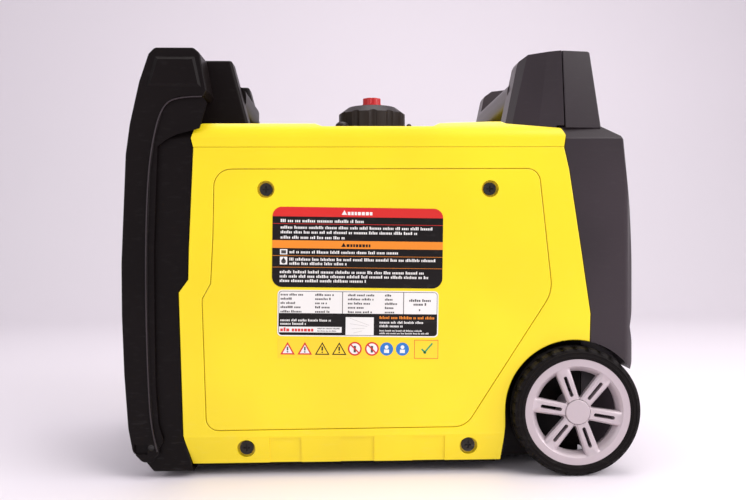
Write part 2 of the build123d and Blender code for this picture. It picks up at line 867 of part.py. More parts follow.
def base_tray():
    """Black chassis tray with raised rims, drain holes and two axle brackets."""
    outline = tray_outline()
    z0 = foot_height
    tray = along_z(outline, z0, z0 + tray_rim) - along_z(grown(outline, -wall), z0 + tray_floor, z0 + 90)
    narrow = well_y - wall - 0.5
    for side in (-1, 1):
        y0, y1 = sorted((side * narrow, side * (narrow - 8)))
        ear = block(wheel_x - 22, min(wheel_x + 18, rear(60)), y0, y1, z0 + 1, wheel_z + 22)
        tray = tray + ear
    for x in (-120, -60, 0, 60):
        for y in (-40, 40):
            tray = tray - rod_z(z0 - 1, z0 + 10, x, y, 6)
    for x, z in skirt_screw_places:
        for side in (-1, 1):
            y0, y1 = side * (tray_y - 7), side * (tray_y + 1)
            tray = tray - rod_y(y0, y1, x, z, screw_hole)
    return tray - rod_y(-side_y, side_y, wheel_x, wheel_z, axle_radius)


def wheel_arch_liners():
    """Black liners that close the wheel wells behind the yellow side covers."""
    y_out = -(side_y - wall - 0.4)
    y_in = -well_y
    space = arch_cutter(arch_radius + 2.6, well_y - 2.6) - arch_cutter(arch_radius + 0.2, well_y)
    region = block(wheel_x - 90, rear(57) - 0.4, y_out, y_in + 2.6, 24, wheel_z + 100)
    liner = space & region & along_x(body_section(wall + 0.4, 0), front(0), rear(0))
    liner = liner - rod_y(-side_y, 0, wheel_x, wheel_z, axle_radius + 0.5)
    return both_sides(liner)


def rubber_feet():
    feet = []
    for y in (72 - side_y, side_y - 72):
        foot = spin_profile_z([(0, 0), (14, 0), (17, foot_height), (0, foot_height)], front(105), y)
        feet.append(foot)
    return feet + engine_mounts()


# ---------------------------------------------------------------- fuel system
def fuel_tank():
    """Flat plastic tank under the top cover, open at the filler hole."""
    z0, z1 = seam(-74), seam(-10)
    half = side_y - 28
    outer = soft_block(-150, 130, -half, half, z0, z1, 14)
    inner = soft_block(-147.5, 127.5, 2.5 - half, half - 2.5, z0 + 2.5, z1 - 2.5, 11.5)
    collar = tube_z(z1 - 1, seam(18) - wall, filler_x, 0, neck_radius + 14, neck_radius + 6)
    return outer + collar - inner - rod_z(z1 - 6, z1 + 1, filler_x, 0, neck_radius - 3)


def filler_neck():
    """Metal filler neck with a thread and a strainer basket hanging in the tank."""
    z0 = seam(-10)
    z1 = seam(46)
    neck = tube_z(z0, z1, filler_x, 0, neck_radius, neck_radius - 2)
    for turn in range(3):
        z = z1 - 6 - 6 * turn
        neck = neck + tube_z(z, z + 2, filler_x, 0, neck_radius + 1.4, neck_radius - 1)
    basket = tube_z(seam(-48), z1 - 2, filler_x, 0, neck_radius - 4, neck_radius - 5)
    basket = basket + rod_z(seam(-48), seam(-47), filler_x, 0, neck_radius - 4.5)
    collar = tube_z(z1 - 4, z1 - 2, filler_x, 0, neck_radius - 1, neck_radius - 5)
    return neck + basket + collar


def cap_inner():
    """Inner cup of the fuel cap, which carries the gasket and seats on the neck."""
    z = seam(46)
    disc = rod_z(z + touch_gap, z + 4, filler_x, 0, neck_radius + 3)
    return disc


def fuel_cap():
    """Fuel cap with grip flutes round its side and a chamfered crown."""
    z0 = seam(30)
    z1 = z0 + cap_height
    profile = [(0, z0), (cap_radius, z0), (cap_radius, z1 - 9), (cap_radius - 12, z1), (0, z1)]
    cap = spin_profile_z(profile, filler_x, 0)
    cap = cap - rod_z(z0 - 1, seam(46) + 4 + touch_gap, filler_x, 0, neck_radius + 4)
    flutes = []
    for index in range(12):
        angle = math.radians(30 * index)
        x = filler_x + (cap_radius + 5) * math.cos(angle)
        y = (cap_radius + 5) * math.sin(angle)
        flutes.append(rod_z(z0 - 1, z1 + 1, x, y, 7.5))
    return cap - flutes


def vent_knob():
    """Air-vent knob on the fuel cap, with a pointer on its foot."""
    z = seam(30) + cap_height
    foot = rod_z(z, z + 5, filler_x, 0, vent_knob_radius)
    pointer = block(filler_x, filler_x + vent_knob_radius + 6, -4, 4, z, z + 4)
    stem = rod_z(z + 4, z + 13, filler_x, 0, vent_knob_radius - 1)
    ribs = []
    for index in range(8):
        angle = math.radians(45 * index)
        x = filler_x + (vent_knob_radius + 0.6) * math.cos(angle)
        y = (vent_knob_radius + 0.6) * math.sin(angle)
        ribs.append(rod_z(z + 5, z + 20, x, y, 2.6))
    return foot + pointer + (stem - ribs)


def cap_tether():
    """Ring round the neck with a ball post and a flat button, where the cap's tether is fixed."""
    z = seam(18)
    ring = tube_z(z, z + 3, filler_x, 0, pan_radius - 1, neck_radius + 5)
    ball_x, ball_y, ball_z = filler_x + cap_radius + 6.5, 12, seam(46)
    ball = rod_z(z + 2, ball_z, ball_x, ball_y, 3) + Pos(ball_x, ball_y, ball_z) * Sphere(3.6)
    angle = math.radians(223)
    reach = cap_radius + 10
    button_x, button_y = filler_x + reach * math.cos(angle), reach * math.sin(angle)
    button = spin_profile_z([(0, 0), (9, 0), (8, 3), (5, 5.5), (0, 6.5)], button_x, button_y)
    stalk = rod_z(z + 2, seam(40), button_x, button_y, 3)
    return ring + ball + stalk + Pos(0, 0, seam(39)) * button


# ---------------------------------------------------------------- engine and alternator
def crankcase():
    """Aluminium crankcase with a foot flange and a bore for the crankshaft."""
    case = soft_block(-40, 80, -75, 75, crank_z - 62, crank_z + 55, 8)
    flange = block(-50, 90, -88, 88, crank_z - 72, crank_z - 61)
    case = case + flange
    case = case - rod_x(-45, 60, 0, crank_z, crank_radius + running_clearance)
    filler = rod_y(-84, -70, 55, crank_z - 35, 15)
    case = case + filler
    return case - rod_y(-90, -72, 55, crank_z - 35, 10.1)


def engine_mounts():
    z0 = foot_height + tray_floor
    mounts = []
    for x in (-38, 78):
        for y in (-76, 76):
            mounts.append(rod_z(z0, crank_z - 72, x, y, 11))
    return mounts


def oil_dipstick():
    """Oil filler plug with a wing grip and a dipstick blade."""
    y = -84
    plug = rod_y(y - 6, y, 55, crank_z - 35, 15)
    plug = plug + block(41, 69, y - 14, y - 5, crank_z - 37.5, crank_z - 32.5)
    return plug + rod_y(y - 1, y + 11, 55, crank_z - 35, 10)


def cylinder():
    """Cylinder barrel with cooling fins."""
    z0 = crank_z + 55
    barrel = rod_z(z0, z0 + 70, 25, 0, 38)
    for index in range(8):
        z = z0 + 6 + 8 * index
        barrel = barrel + block(-24, 74, -52, 52, z, z + 3)
    return barrel


def cylinder_head():
    """Cylinder head with fins, topped by the rocker cover."""
    z0 = crank_z + 125
    head = block(-15, 65, -45, 45, z0, z0 + 28)
    for index in range(3):
        z = z0 + 2 + 9 * index
        head = head + block(-24, 74, -52, 52, z, z + 3)
    rocker = fillet(block(-5, 55, -34, 34, z0 + 27, z0 + 50).edges().filter_by(Axis.Z), 8)
    return head + rocker - rod_x(-30, -5, 0, z0 + 14, 6)


def spark_plug():
    """Spark plug with its rubber boot, on the front of the head."""
    z = crank_z + 139
    return rod_x(-44, -6, 0, z, 5.6) + rod_x(-62, -30, 0, z, 9) + rod_x(-30, -25, 0, z, 8)


def carburettor():
    z = crank_z + 95
    body = rod_y(52, 92, 25, z, 17) + block(5, 45, 60, 84, z - 22, z + 14)
    return body + rod_z(z - 38, z - 20, 25, 72, 17)


def air_filter_box():
    return soft_block(-45, 75, 92, 136, crank_z + 60, crank_z + 165, 6)


def muffler():
    """Muffler box with its inlet pipe from the cylinder."""
    box = soft_block(100, 205, -60, 82, 112, 262, 14)
    path = FilletPolyline(
        (30, -52, crank_z + 95),
        (30, -84, crank_z + 95),
        (140, -84, crank_z + 95),
        (140, -50, crank_z + 95),
        radius=18,
    )
    start = Plane(origin=path @ 0, z_dir=path % 0)
    floor = foot_height + tray_floor
    legs = block(124, 130, -40, 60, floor, 116) + block(176, 182, -40, 60, floor, 116)
    return box + legs + sweep(start * Circle(11), path=path)


def exhaust_outlet():
    """Exhaust tail pipe with a flared guard ring at the rear cover."""
    pipe = tube_x(205, rear(5), outlet_y, outlet_z, outlet_radius, outlet_bore)
    return pipe + tube_x(rear(15), rear(11), outlet_y, outlet_z, 22, outlet_radius - 1)


def crankshaft():
    return rod_x(-164, 58, 0, crank_z, crank_radius)


def flywheel():
    """Flywheel bell that carries the magnets, with fan blades on its front face."""
    profile = [
        (crank_radius, -150),
        (flywheel_radius, -150),
        (flywheel_radius, -98),
        (flywheel_radius - 7, -98),
        (flywheel_radius - 7, -143),
        (crank_radius + 8, -143),
        (crank_radius + 8, -138),
        (crank_radius, -138),
    ]
    bell = spin_profile_x(profile, crank_z)
    for index in range(10):
        blade = block(-157, -149, -1.2, 1.2, 22, flywheel_radius - 2)
        bell = bell + Pos(0, 0, crank_z) * Rot(36 * index, 0, 0) * blade
    return bell


def stator():
    """Stator ring with twelve wound poles and a mounting sleeve on the crankcase."""
    core = tube_x(-134, -100, 0, crank_z, 40, crank_radius + 4)
    pole = block(-134, -100, -5, 5, 38, flywheel_radius - 9)
    for index in range(12):
        core = core + Pos(0, 0, crank_z) * Rot(30 * index, 0, 0) * pole
    return core + tube_x(-102, -40, 0, crank_z, 26, crank_radius + 4)


def recoil_housing():
    """Dished recoil starter housing with air slots and a rope hole."""
    outside = [(0, -192), (74, -192), (78, -186), (78, -160)]
    profile = outside + [(75.5, -160), (75.5, -186), (72, -189.5), (0, -189.5)]
    dish = spin_profile_x(profile, crank_z)
    slots = []
    for index in range(9):
        slots.append(Pos(0, 0, crank_z) * Rot(40 * index, 0, 0) * block(-195, -185, -3, 3, 46, 66))
    dish = dish - slots - rod_y(50, 90, recoil_x, recoil_z, 5)
    stays = []
    for y, z in ((-68, 25), (68, 25), (-68, -25), (68, -25)):
        stays.append(rod_x(-190, -40, y, crank_z + z, 3) - rod_x(-193, -161, y, crank_z + z, 1))
    post = rod_x(-190, -168, 0, crank_z, 6)
    shell = dish + post
    for stay in stays:
        shell = shell + stay
    return shell


def recoil_pulley():
    """Grooved rope pulley on the post of the recoil housing."""
    profile = [
        (6.05, -182),
        (pulley_radius + 7, -182),
        (pulley_radius + 7, -180),
        (pulley_radius, -178),
        (pulley_radius, -172),
        (pulley_radius + 7, -170),
        (pulley_radius + 7, -168.5),
        (6.05, -168.5),
    ]
    return spin_profile_x(profile, crank_z)


def recoil_rope():
    """Straight run of rope from the pulley to the grip."""
    return rod_y(-50, side_y - 17, recoil_x, recoil_z, rope_radius)


def recoil_grip():
    """T-shaped grip with a round stem."""
    z = recoil_z
    stem = rod_y(side_y - 17, side_y - 6, recoil_x, z, 7)
    bar = fillet(block(recoil_x - 24, recoil_x + 24, side_y - 10, side_y + 6, z - 8, z + 8).edges(), 5)
    return stem + bar


def inverter_module():
    """Inverter in a finned aluminium case behind the control panel."""
    floor = foot_height + tray_floor
    case = block(-220, -195, -88, 88, 62, 236)
    case = case + block(-218, -197, -80, -66, floor, 63) + block(-218, -197, 66, 80, floor, 63)
    for index in range(22):
        y = -86 + 8 * index
        case = case + block(-226, -219, y, y + 3, 66, 232)
    return case


# ---------------------------------------------------------------- control panel
plate_x = front(front_face) + wall  # front surface of the control panel
plate_back = plate_x + 2.5
socket_places = [(-50.0, 190.0), (50.0, 190.0)]
socket_half = 30.0
knob_place = (62.0, seam_z - 54)
start_place = (62.0, seam_z - 108)
rocker_place = (8.0, seam_z - 84)
lamp_places = [(-12.0, seam_z - 40), (8.0, seam_z - 40), (28.0, seam_z - 40)]
breaker_place = (-52.0, seam_z - 48)
earth_place = (82.0, 132.0)


def control_panel():
    """Control panel plate behind the front cover's opening."""
    half, low, high = panel_opening
    side = half + 8
    face = outline_yz([(-side, low - 6), (side, low - 6), (side, high + 6), (-side, high + 6)], 6)
    plate = along_x(face, plate_x, plate_back)
    for y, z in socket_places:
        plate = plate - rod_x(plate_x - 1, plate_back + 1, y, z, 25.5)
    round_holes = [(knob_place, 5.3), (start_place, 8.3), (breaker_place, 6.3), (earth_place, 3.2)]
    round_holes += [(place, 4.2) for place in lamp_places]
    for (y, z), radius in round_holes:
        plate = plate - rod_x(plate_x - 1, plate_back + 1, y, z, radius)
    y, z = rocker_place
    return plate - block(plate_x - 1, plate_back + 1, y - 12.2, y + 12.2, z - 8.2, z + 8.2)


def outlets():
    """Two round AC sockets, a DC socket and a USB socket, each a moulding on the panel."""
    found = []
    for y, z in socket_places:
        flange = outline_yz(
            [(y - 31, z - 31), (y + 31, z - 31), (y + 31, z + 31), (y - 31, z + 31)], 5
        )
        body = along_x(flange, plate_x - 7, plate_x) + rod_x(plate_x - 1, plate_x + 31, y, z, 25)
        body = body - rod_x(plate_x - 8, plate_x + 10.5, y, z, 20)
        for dy in (-9.5, 9.5):
            body = body - rod_x(plate_x + 10, plate_x + 28, y + dy, z, 2.6)
        found.append(body)
    y, z = breaker_place
    dc = rod_x(plate_x - 6, plate_x, y, z - 62, 16) - rod_x(plate_x - 7, plate_x - 2, y, z - 62, 12)
    usb_block = soft_block(plate_x - 5, plate_x, 0, 40, z - 78, z - 50, 1.5)
    usb = usb_block - block(plate_x - 6, plate_x - 1.5, 8, 32, z - 71, z - 67)
    usb = usb - block(plate_x - 6, plate_x - 1.5, 8, 32, z - 62, z - 58)
    return found + [dc, usb]


lid_hinge_x = plate_x - 9.2


def socket_lid(place):
    """Hinged lid over one AC socket, with its hinge barrel along the top edge."""
    y, z = place
    z_top = z + socket_half + 1
    face = outline_yz([(y - 28, z - 28), (y + 28, z - 28), (y + 28, z_top), (y - 28, z_top)], [7, 7, 0, 0])
    lid = along_x(face, plate_x - 10.4, plate_x - 7.3)
    lid = lid + block(plate_x - 14, plate_x - 10, y - 12, y + 12, z - 27, z - 21)
    barrel = rod_y(y - 28, y + 28, lid_hinge_x, z_top, 1.9)
    return lid + barrel


def engine_switch_knob():
    """Rotary engine switch with a raised grip bar."""
    y, z = knob_place
    disc = rod_x(plate_x - 6, plate_x - touch_gap, y, z, 20)
    bar = soft_block(plate_x - 18, plate_x - 5, y - 5, y + 5, z - 19, z + 19, 2)
    return disc + bar + rod_x(plate_x - 1, plate_x + 12, y, z, 5)


def start_button():
    y, z = start_place
    return rod_x(plate_x - 6, plate_x + 8, y, z, 8) + rod_x(plate_x + 4, plate_x + 8, y, z, 10)


def breaker_button():
    y, z = breaker_place
    return rod_x(plate_x - 5, plate_x + 8, y, z, 6) + rod_x(plate_x + 4, plate_x + 8, y, z, 8)


def eco_rocker():
    """Rocker switch with a shallow V-shaped face, pivoted across its middle."""
    y, z = rocker_place
    side = outline_xz(
        [
            (plate_x - 3.5, z - 7.6),
            (plate_x - 2.0, z),
            (plate_x - 3.5, z + 7.6),
            (plate_x + 5, z + 5.5),
            (plate_x + 5, z - 5.5),
        ]
    )
    return along_y(side, y - 11.5, y + 11.5)


def indicator_lamps():
    lamps = []
    for y, z in lamp_places:
        lamps.append(rod_x(plate_x, plate_x + 8, y, z, 4) + Pos(plate_x, y, z) * Sphere(4))
    return lamps


def earth_terminal():
    """Earth stud with a round nut."""
    y, z = earth_place
    return rod_x(plate_x - 16, plate_x + 8, y, z, 3) + tube_x(plate_x - 6, plate_x, y, z, 8, 2.9)


# ---------------------------------------------------------------- assembly
nodes = {
    "base_tray": [base_tray()],
    "wheel_arch_liners": wheel_arch_liners(),
    "left_side_cover": [left_side_cover()],
    "right_side_cover": [right_side_cover()],
    "service_panel": [service_panel()],
    "service_panel_screws": panel_screws(),
    "label_plates": label_plates(),
    "skirt_screws": skirt_screws(),
    "top_cover": [top_cover()],
    "front_end_cover": [front_end_cover()],
    "rear_end_cover": [rear_end_cover()],
    "front_carry_handle": [front_carry_handle()],
    "rear_carry_handle": [rear_carry_handle()],
    "pull_handle_left_arm": [pull_arm()],
    "pull_handle_right_arm": [mirrored(pull_arm())],
    "pull_handle_grip": [pull_grip()],
    "pivot_pins_and_clips": pull_pins() + axle_clips(),
    "rubber_feet_and_mounts": rubber_feet(),
    "axle": [axle()],
    "fuel_tank": [fuel_tank()],
    "filler_neck": [filler_neck()],
    "fuel_cap_seat": [cap_inner()],
    "fuel_cap": [fuel_cap()],
    "vent_knob": [vent_knob()],
    "cap_tether": [cap_tether()],
    "crankcase": [crankcase()],
    "oil_dipstick": [oil_dipstick()],
    "cylinder": [cylinder()],
    "cylinder_head": [cylinder_head()],
    "spark_plug": [spark_plug()],
    "carburettor": [carburettor()],
    "air_filter_box": [air_filter_box()],
    "muffler": [muffler()],
    "exhaust_outlet": [exhaust_outlet()],
    "crankshaft": [crankshaft()],
    "flywheel": [flywheel()],
    "stator": [stator()],
    "recoil_housing": [recoil_housing()],
    "recoil_pulley": [recoil_pulley()],
    "recoil_rope": [recoil_rope()],
    "recoil_grip": [recoil_grip()],
    "inverter_module": [inverter_module()],
    "control_panel": [control_panel()],
    "outlets": outlets(),
    "left_socket_lid": [socket_lid(socket_places[0])],
    "right_socket_lid": [socket_lid(socket_places[1])],
    "engine_switch_knob": [engine_switch_knob()],
    "start_button": [start_button()],
    "breaker_button": [breaker_button()],
    "eco_rocker": [eco_rocker()],
    "indicator_lamps": indicator_lamps(),
    "earth_terminal": [earth_terminal()],
}
left_wheel = {"tyre": tyre(), "rim": rim(), "hub_cap": hub_cap(), "wheel_bush": wheel_bush()}
for name, shape in left_wheel.items():
    nodes["left_" + name] = [shape]
    nodes["right_" + name] = [mirrored(shape)]

os.makedirs("parts", exist_ok=True)
for name, shapes in nodes.items():
    solids = [solid for shape in shapes for solid in ShapeList([shape]).solids()]
    export_step(Compound(children=solids) if len(solids) > 1 else solids[0], f"parts/{name}.step")
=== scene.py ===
"""Portable generator: finishes for its covers, machinery and wheels, with tyres, printed plates and trim."""

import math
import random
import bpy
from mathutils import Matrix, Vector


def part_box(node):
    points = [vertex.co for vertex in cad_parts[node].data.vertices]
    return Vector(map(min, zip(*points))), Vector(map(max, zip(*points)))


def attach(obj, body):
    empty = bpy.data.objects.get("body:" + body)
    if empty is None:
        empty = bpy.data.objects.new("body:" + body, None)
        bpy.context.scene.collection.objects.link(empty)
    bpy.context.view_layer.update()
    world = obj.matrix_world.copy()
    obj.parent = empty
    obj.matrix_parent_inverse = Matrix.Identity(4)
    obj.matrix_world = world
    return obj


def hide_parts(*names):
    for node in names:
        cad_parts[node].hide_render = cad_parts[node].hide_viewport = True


bl_info = {
    "name": "Portable Generator Finishes",
    "version": (1, 0, 0),
    "blender": (4, 5, 0),
    "location": "3D View > Sidebar > Generator",
    "description": "Finishes and detail pieces of a portable generator, built on its packed frame",
    "category": "Object",
}

import bmesh
import bpy
from mathutils import Matrix, Vector

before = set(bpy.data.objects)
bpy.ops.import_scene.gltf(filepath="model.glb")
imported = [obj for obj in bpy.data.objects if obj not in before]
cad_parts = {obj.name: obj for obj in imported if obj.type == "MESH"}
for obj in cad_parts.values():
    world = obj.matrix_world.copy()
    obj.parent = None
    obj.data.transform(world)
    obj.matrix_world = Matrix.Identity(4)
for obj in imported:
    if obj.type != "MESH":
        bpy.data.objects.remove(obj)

MM = 0.001
ROOT_BODY = "generator_body"
FULL_TURN = 2 * math.pi
QUARTER_TURN = math.pi / 2
EIGHTH_TURN = math.pi / 4
# points closer than this are one point
TOUCHING = 1e-6


# ---------------------------------------------------------------- sizes and colours
class HousingFinish(bpy.types.PropertyGroup):
    """Colours and surface of the moulded covers."""

    yellow: bpy.props.FloatVectorProperty(
        name="Yellow", description="Colour of the yellow covers", subtype="COLOR", size=3,
        min=0, max=1, default=(0.87, 0.675, 0.006))
    black: bpy.props.FloatVectorProperty(
        name="Black", description="Colour of the black covers and handles", subtype="COLOR", size=3,
        min=0, max=1, default=(0.0050, 0.0032, 0.0034))
    red: bpy.props.FloatVectorProperty(
        name="Red", description="Colour of the vent knob and buttons", subtype="COLOR", size=3,
        min=0, max=1, default=(0.60, 0.004, 0.006))


class WheelSizes(bpy.types.PropertyGroup):
    """Tread and paint of the wheels."""

    paint: bpy.props.FloatVectorProperty(
        name="Paint", description="Colour of the silver painted rims", subtype="COLOR", size=3,
        min=0, max=1, default=(0.46, 0.395, 0.42))
    rim_turn: bpy.props.FloatProperty(
        name="Rim turn", description="How far the spokes are turned on the axle", subtype="ANGLE",
        default=math.radians(30))
    lugs: bpy.props.IntProperty(
        name="Lugs", description="Number of tread lugs on each shoulder", min=12, max=48, default=32)
    groove_depth: bpy.props.FloatProperty(
        name="Groove depth", description="Depth of the grooves between lugs", unit="LENGTH",
        min=0.0005, max=0.005, default=0.0022)
    ring_height: bpy.props.FloatProperty(
        name="Ring height", description="Height of the raised rings on the sidewall", unit="LENGTH",
        min=0.0001, max=0.002, default=0.0005)


class PlateSizes(bpy.types.PropertyGroup):
    """Printed plates on the service panel."""

    tilt: bpy.props.FloatProperty(
        name="Tilt", description="Turn of the plates on the panel, clockwise", subtype="ANGLE",
        min=0, max=0.1, default=math.radians(1.0))
    ink: bpy.props.FloatProperty(
        name="Ink", description="Thickness of one printed layer", unit="LENGTH",
        min=0.00001, max=0.0005, default=0.00006)
    seed: bpy.props.IntProperty(
        name="Seed", description="Seed of the word lengths", min=0, default=11)


class StageSetup(bpy.types.PropertyGroup):
    """Floor, lights and camera."""

    key_power: bpy.props.FloatProperty(
        name="Key", description="Power of the large light on the right", unit="POWER", min=0, default=34)
    fill_power: bpy.props.FloatProperty(
        name="Fill", description="Power of the light on the left", unit="POWER", min=0, default=12)
    top_power: bpy.props.FloatProperty(
        name="Top", description="Power of the overhead light", unit="POWER", min=0, default=30)
    edge_power: bpy.props.FloatProperty(
        name="Edge", description="Power of the low light that picks out the right-hand edges", unit="POWER",
        min=0, default=22)
    floor: bpy.props.FloatVectorProperty(
        name="Floor", description="Colour of the floor and backdrop", subtype="COLOR", size=3,
        min=0, max=1, default=(0.84, 0.79, 0.84))
    lens: bpy.props.FloatProperty(
        name="Lens", description="Focal length of the camera", unit="CAMERA", min=1, default=38.05)


# ---------------------------------------------------------------- node groups
def group_of(name, inputs, output):
    """An empty shader node group with float inputs and one float output, and its two end nodes."""
    tree = bpy.data.node_groups.new(name, "ShaderNodeTree")
    for label, value in inputs:
        socket = tree.interface.new_socket(name=label, in_out="INPUT", socket_type="NodeSocketFloat")
        socket.default_value = value
    tree.interface.new_socket(name=output, in_out="OUTPUT", socket_type="NodeSocketFloat")
    return tree, tree.nodes.new("NodeGroupInput"), tree.nodes.new("NodeGroupOutput")


def feed(tree, socket, value):
    """Gives a socket its value, or a link if the value is another socket."""
    if isinstance(value, bpy.types.NodeSocket):
        tree.links.new(value, socket)
    else:
        socket.default_value = value


def noise(tree, vector, scale, detail=3.0):
    """Even noise, with finer noise on it as the detail rises."""
    node = tree.nodes.new("ShaderNodeTexNoise")
    for label, value in (("Vector", vector), ("Scale", scale), ("Detail", detail)):
        feed(tree, node.inputs[label], value)
    return node.outputs["Fac"]


def maths(tree, operation, first, second, clamp=False):
    """One sum of two values."""
    node = tree.nodes.new("ShaderNodeMath")
    node.operation = operation
    node.use_clamp = clamp
    feed(tree, node.inputs[0], first)
    feed(tree, node.inputs[1], second)
    return node.outputs[0]


def ramp(tree, value, start, end, low=0.0, high=1.0):
    """A smooth step from low at start to high at end."""
    node = tree.nodes.new("ShaderNodeMapRange")
    node.interpolation_type = "SMOOTHSTEP"
    labels = ("Value", "From Min", "From Max", "To Min", "To Max")
    for label, number in zip(labels, (value, start, end, low, high)):
        feed(tree, node.inputs[label], number)
    return node.outputs["Result"]


def moulded_grain():
    """Height of a pebbled moulding: rounded cells with a finer noise between them."""
    tree, start, end = group_of("moulded_grain", [("Scale", 900.0), ("Pebble", 0.6)], "Height")
    place = tree.nodes.new("ShaderNodeTexCoord").outputs["Object"]
    cells = tree.nodes.new("ShaderNodeTexVoronoi")
    cells.feature = "SMOOTH_F1"
    tree.links.new(place, cells.inputs["Vector"])
    tree.links.new(start.outputs["Scale"], cells.inputs["Scale"])
    pebble = maths(tree, "MULTIPLY", cells.outputs["Distance"], start.outputs["Pebble"])
    height = maths(tree, "SUBTRACT", noise(tree, place, start.outputs["Scale"]), pebble)
    tree.links.new(height, end.inputs["Height"])
    return tree


def settled_dust():
    """Mask of dust on upward faces, broken up in patches."""
    tree, start, end = group_of("settled_dust", [("Amount", 0.1), ("Patches", 14.0)], "Mask")
    place = tree.nodes.new("ShaderNodeTexCoord").outputs["Object"]
    normal = tree.nodes.new("ShaderNodeSeparateXYZ")
    tree.links.new(tree.nodes.new("ShaderNodeNewGeometry").outputs["Normal"], normal.inputs[0])
    steepest, flat, thin = 0.25, 1.0, 0.3
    upward = ramp(tree, normal.outputs["Z"], steepest, flat)
    cloud = noise(tree, place, start.outputs["Patches"], detail=6.0)
    patches = ramp(tree, cloud, start=0.35, end=0.7, low=thin)
    mask = maths(tree, "MULTIPLY", maths(tree, "MULTIPLY", upward, patches), start.outputs["Amount"], True)
    tree.links.new(mask, end.inputs["Mask"])
    return tree


def handling_wear():
    """Mask of fine scuffs, densest at the floor and thinning out up to a set height."""
    tree, start, end = group_of("handling_wear", [("Amount", 0.1), ("Height", 0.1), ("Scale", 60.0)], "Mask")
    place = tree.nodes.new("ShaderNodeTexCoord").outputs["Object"]
    stretch = tree.nodes.new("ShaderNodeMapping")
    flatten = 4.0
    stretch.inputs["Scale"].default_value = (1.0, 1.0, flatten)
    tree.links.new(place, stretch.inputs["Vector"])
    height = tree.nodes.new("ShaderNodeSeparateXYZ")
    tree.links.new(place, height.inputs[0])
    thinnest = 0.25
    density = ramp(tree, height.outputs["Z"], 0.0, start.outputs["Height"], 1.0, thinnest)
    scratches = noise(tree, stretch.outputs[0], start.outputs["Scale"], detail=8.0)
    marks = ramp(tree, scratches, start=0.56, end=0.68)
    mask = maths(tree, "MULTIPLY", maths(tree, "MULTIPLY", density, marks), start.outputs["Amount"], True)
    tree.links.new(mask, end.inputs["Mask"])
    return tree


def colour_drift():
    """Slow change of shade over a surface."""
    tree, start, end = group_of("colour_drift", [("Scale", 7.0)], "Mask")
    place = tree.nodes.new("ShaderNodeTexCoord").outputs["Object"]
    clouds = noise(tree, place, start.outputs["Scale"], detail=2.0)
    tree.links.new(ramp(tree, clouds, start=0.3, end=0.7), end.inputs["Mask"])
    return tree


# the groups and the materials made so far
GROUPS = {}
MADE = {}


def placed(tree, maker, **values):
    """One of the shared groups, put in a material with its own values."""
    if maker not in GROUPS:
        GROUPS[maker] = maker()
    node = tree.nodes.new("ShaderNodeGroup")
    node.node_tree = GROUPS[maker]
    for label, value in values.items():
        node.inputs[label].default_value = value
    return node.outputs[0]


def blended(tree, factor, first, second):
    """Colour between two, either of them a colour or a socket."""
    node = tree.nodes.new("ShaderNodeMix")
    node.data_type = "RGBA"
    sockets = [s for s in node.inputs if s.type == "RGBA"]
    tree.links.new(factor, node.inputs["Factor"])
    for socket, colour in zip(sockets, (first, second)):
        feed(tree, socket, (*colour, 1.0) if isinstance(colour, tuple) else colour)
    return [s for s in node.outputs if s.type == "RGBA"][0]


DUST = (0.46, 0.41, 0.36)
DRIFT_SCALE = 6.0
DUST_PATCHES = 18.0
# scuffs reach up to a height, and move a colour part of the way to a light grey
WEAR_HEIGHT = 0.12
WEAR_SCALE = 70.0
WORN_GREY = 0.75
WORN_SHARE = 0.22
# how much rougher the scuffs and the tops of the grain are
WEAR_ROUGHNESS = 0.35
GRAIN_ROUGHNESS = 0.06
PEBBLE = 0.6
BUMP_STRENGTH = 0.8
COAT_ROUGHNESS = 0.2
# darker plastics and rubber reflect less, down to the dullest gloss
DULLEST_GLOSS = 0.06
GLOSS_RISE = 11.0
FULL_GLOSS = 0.5
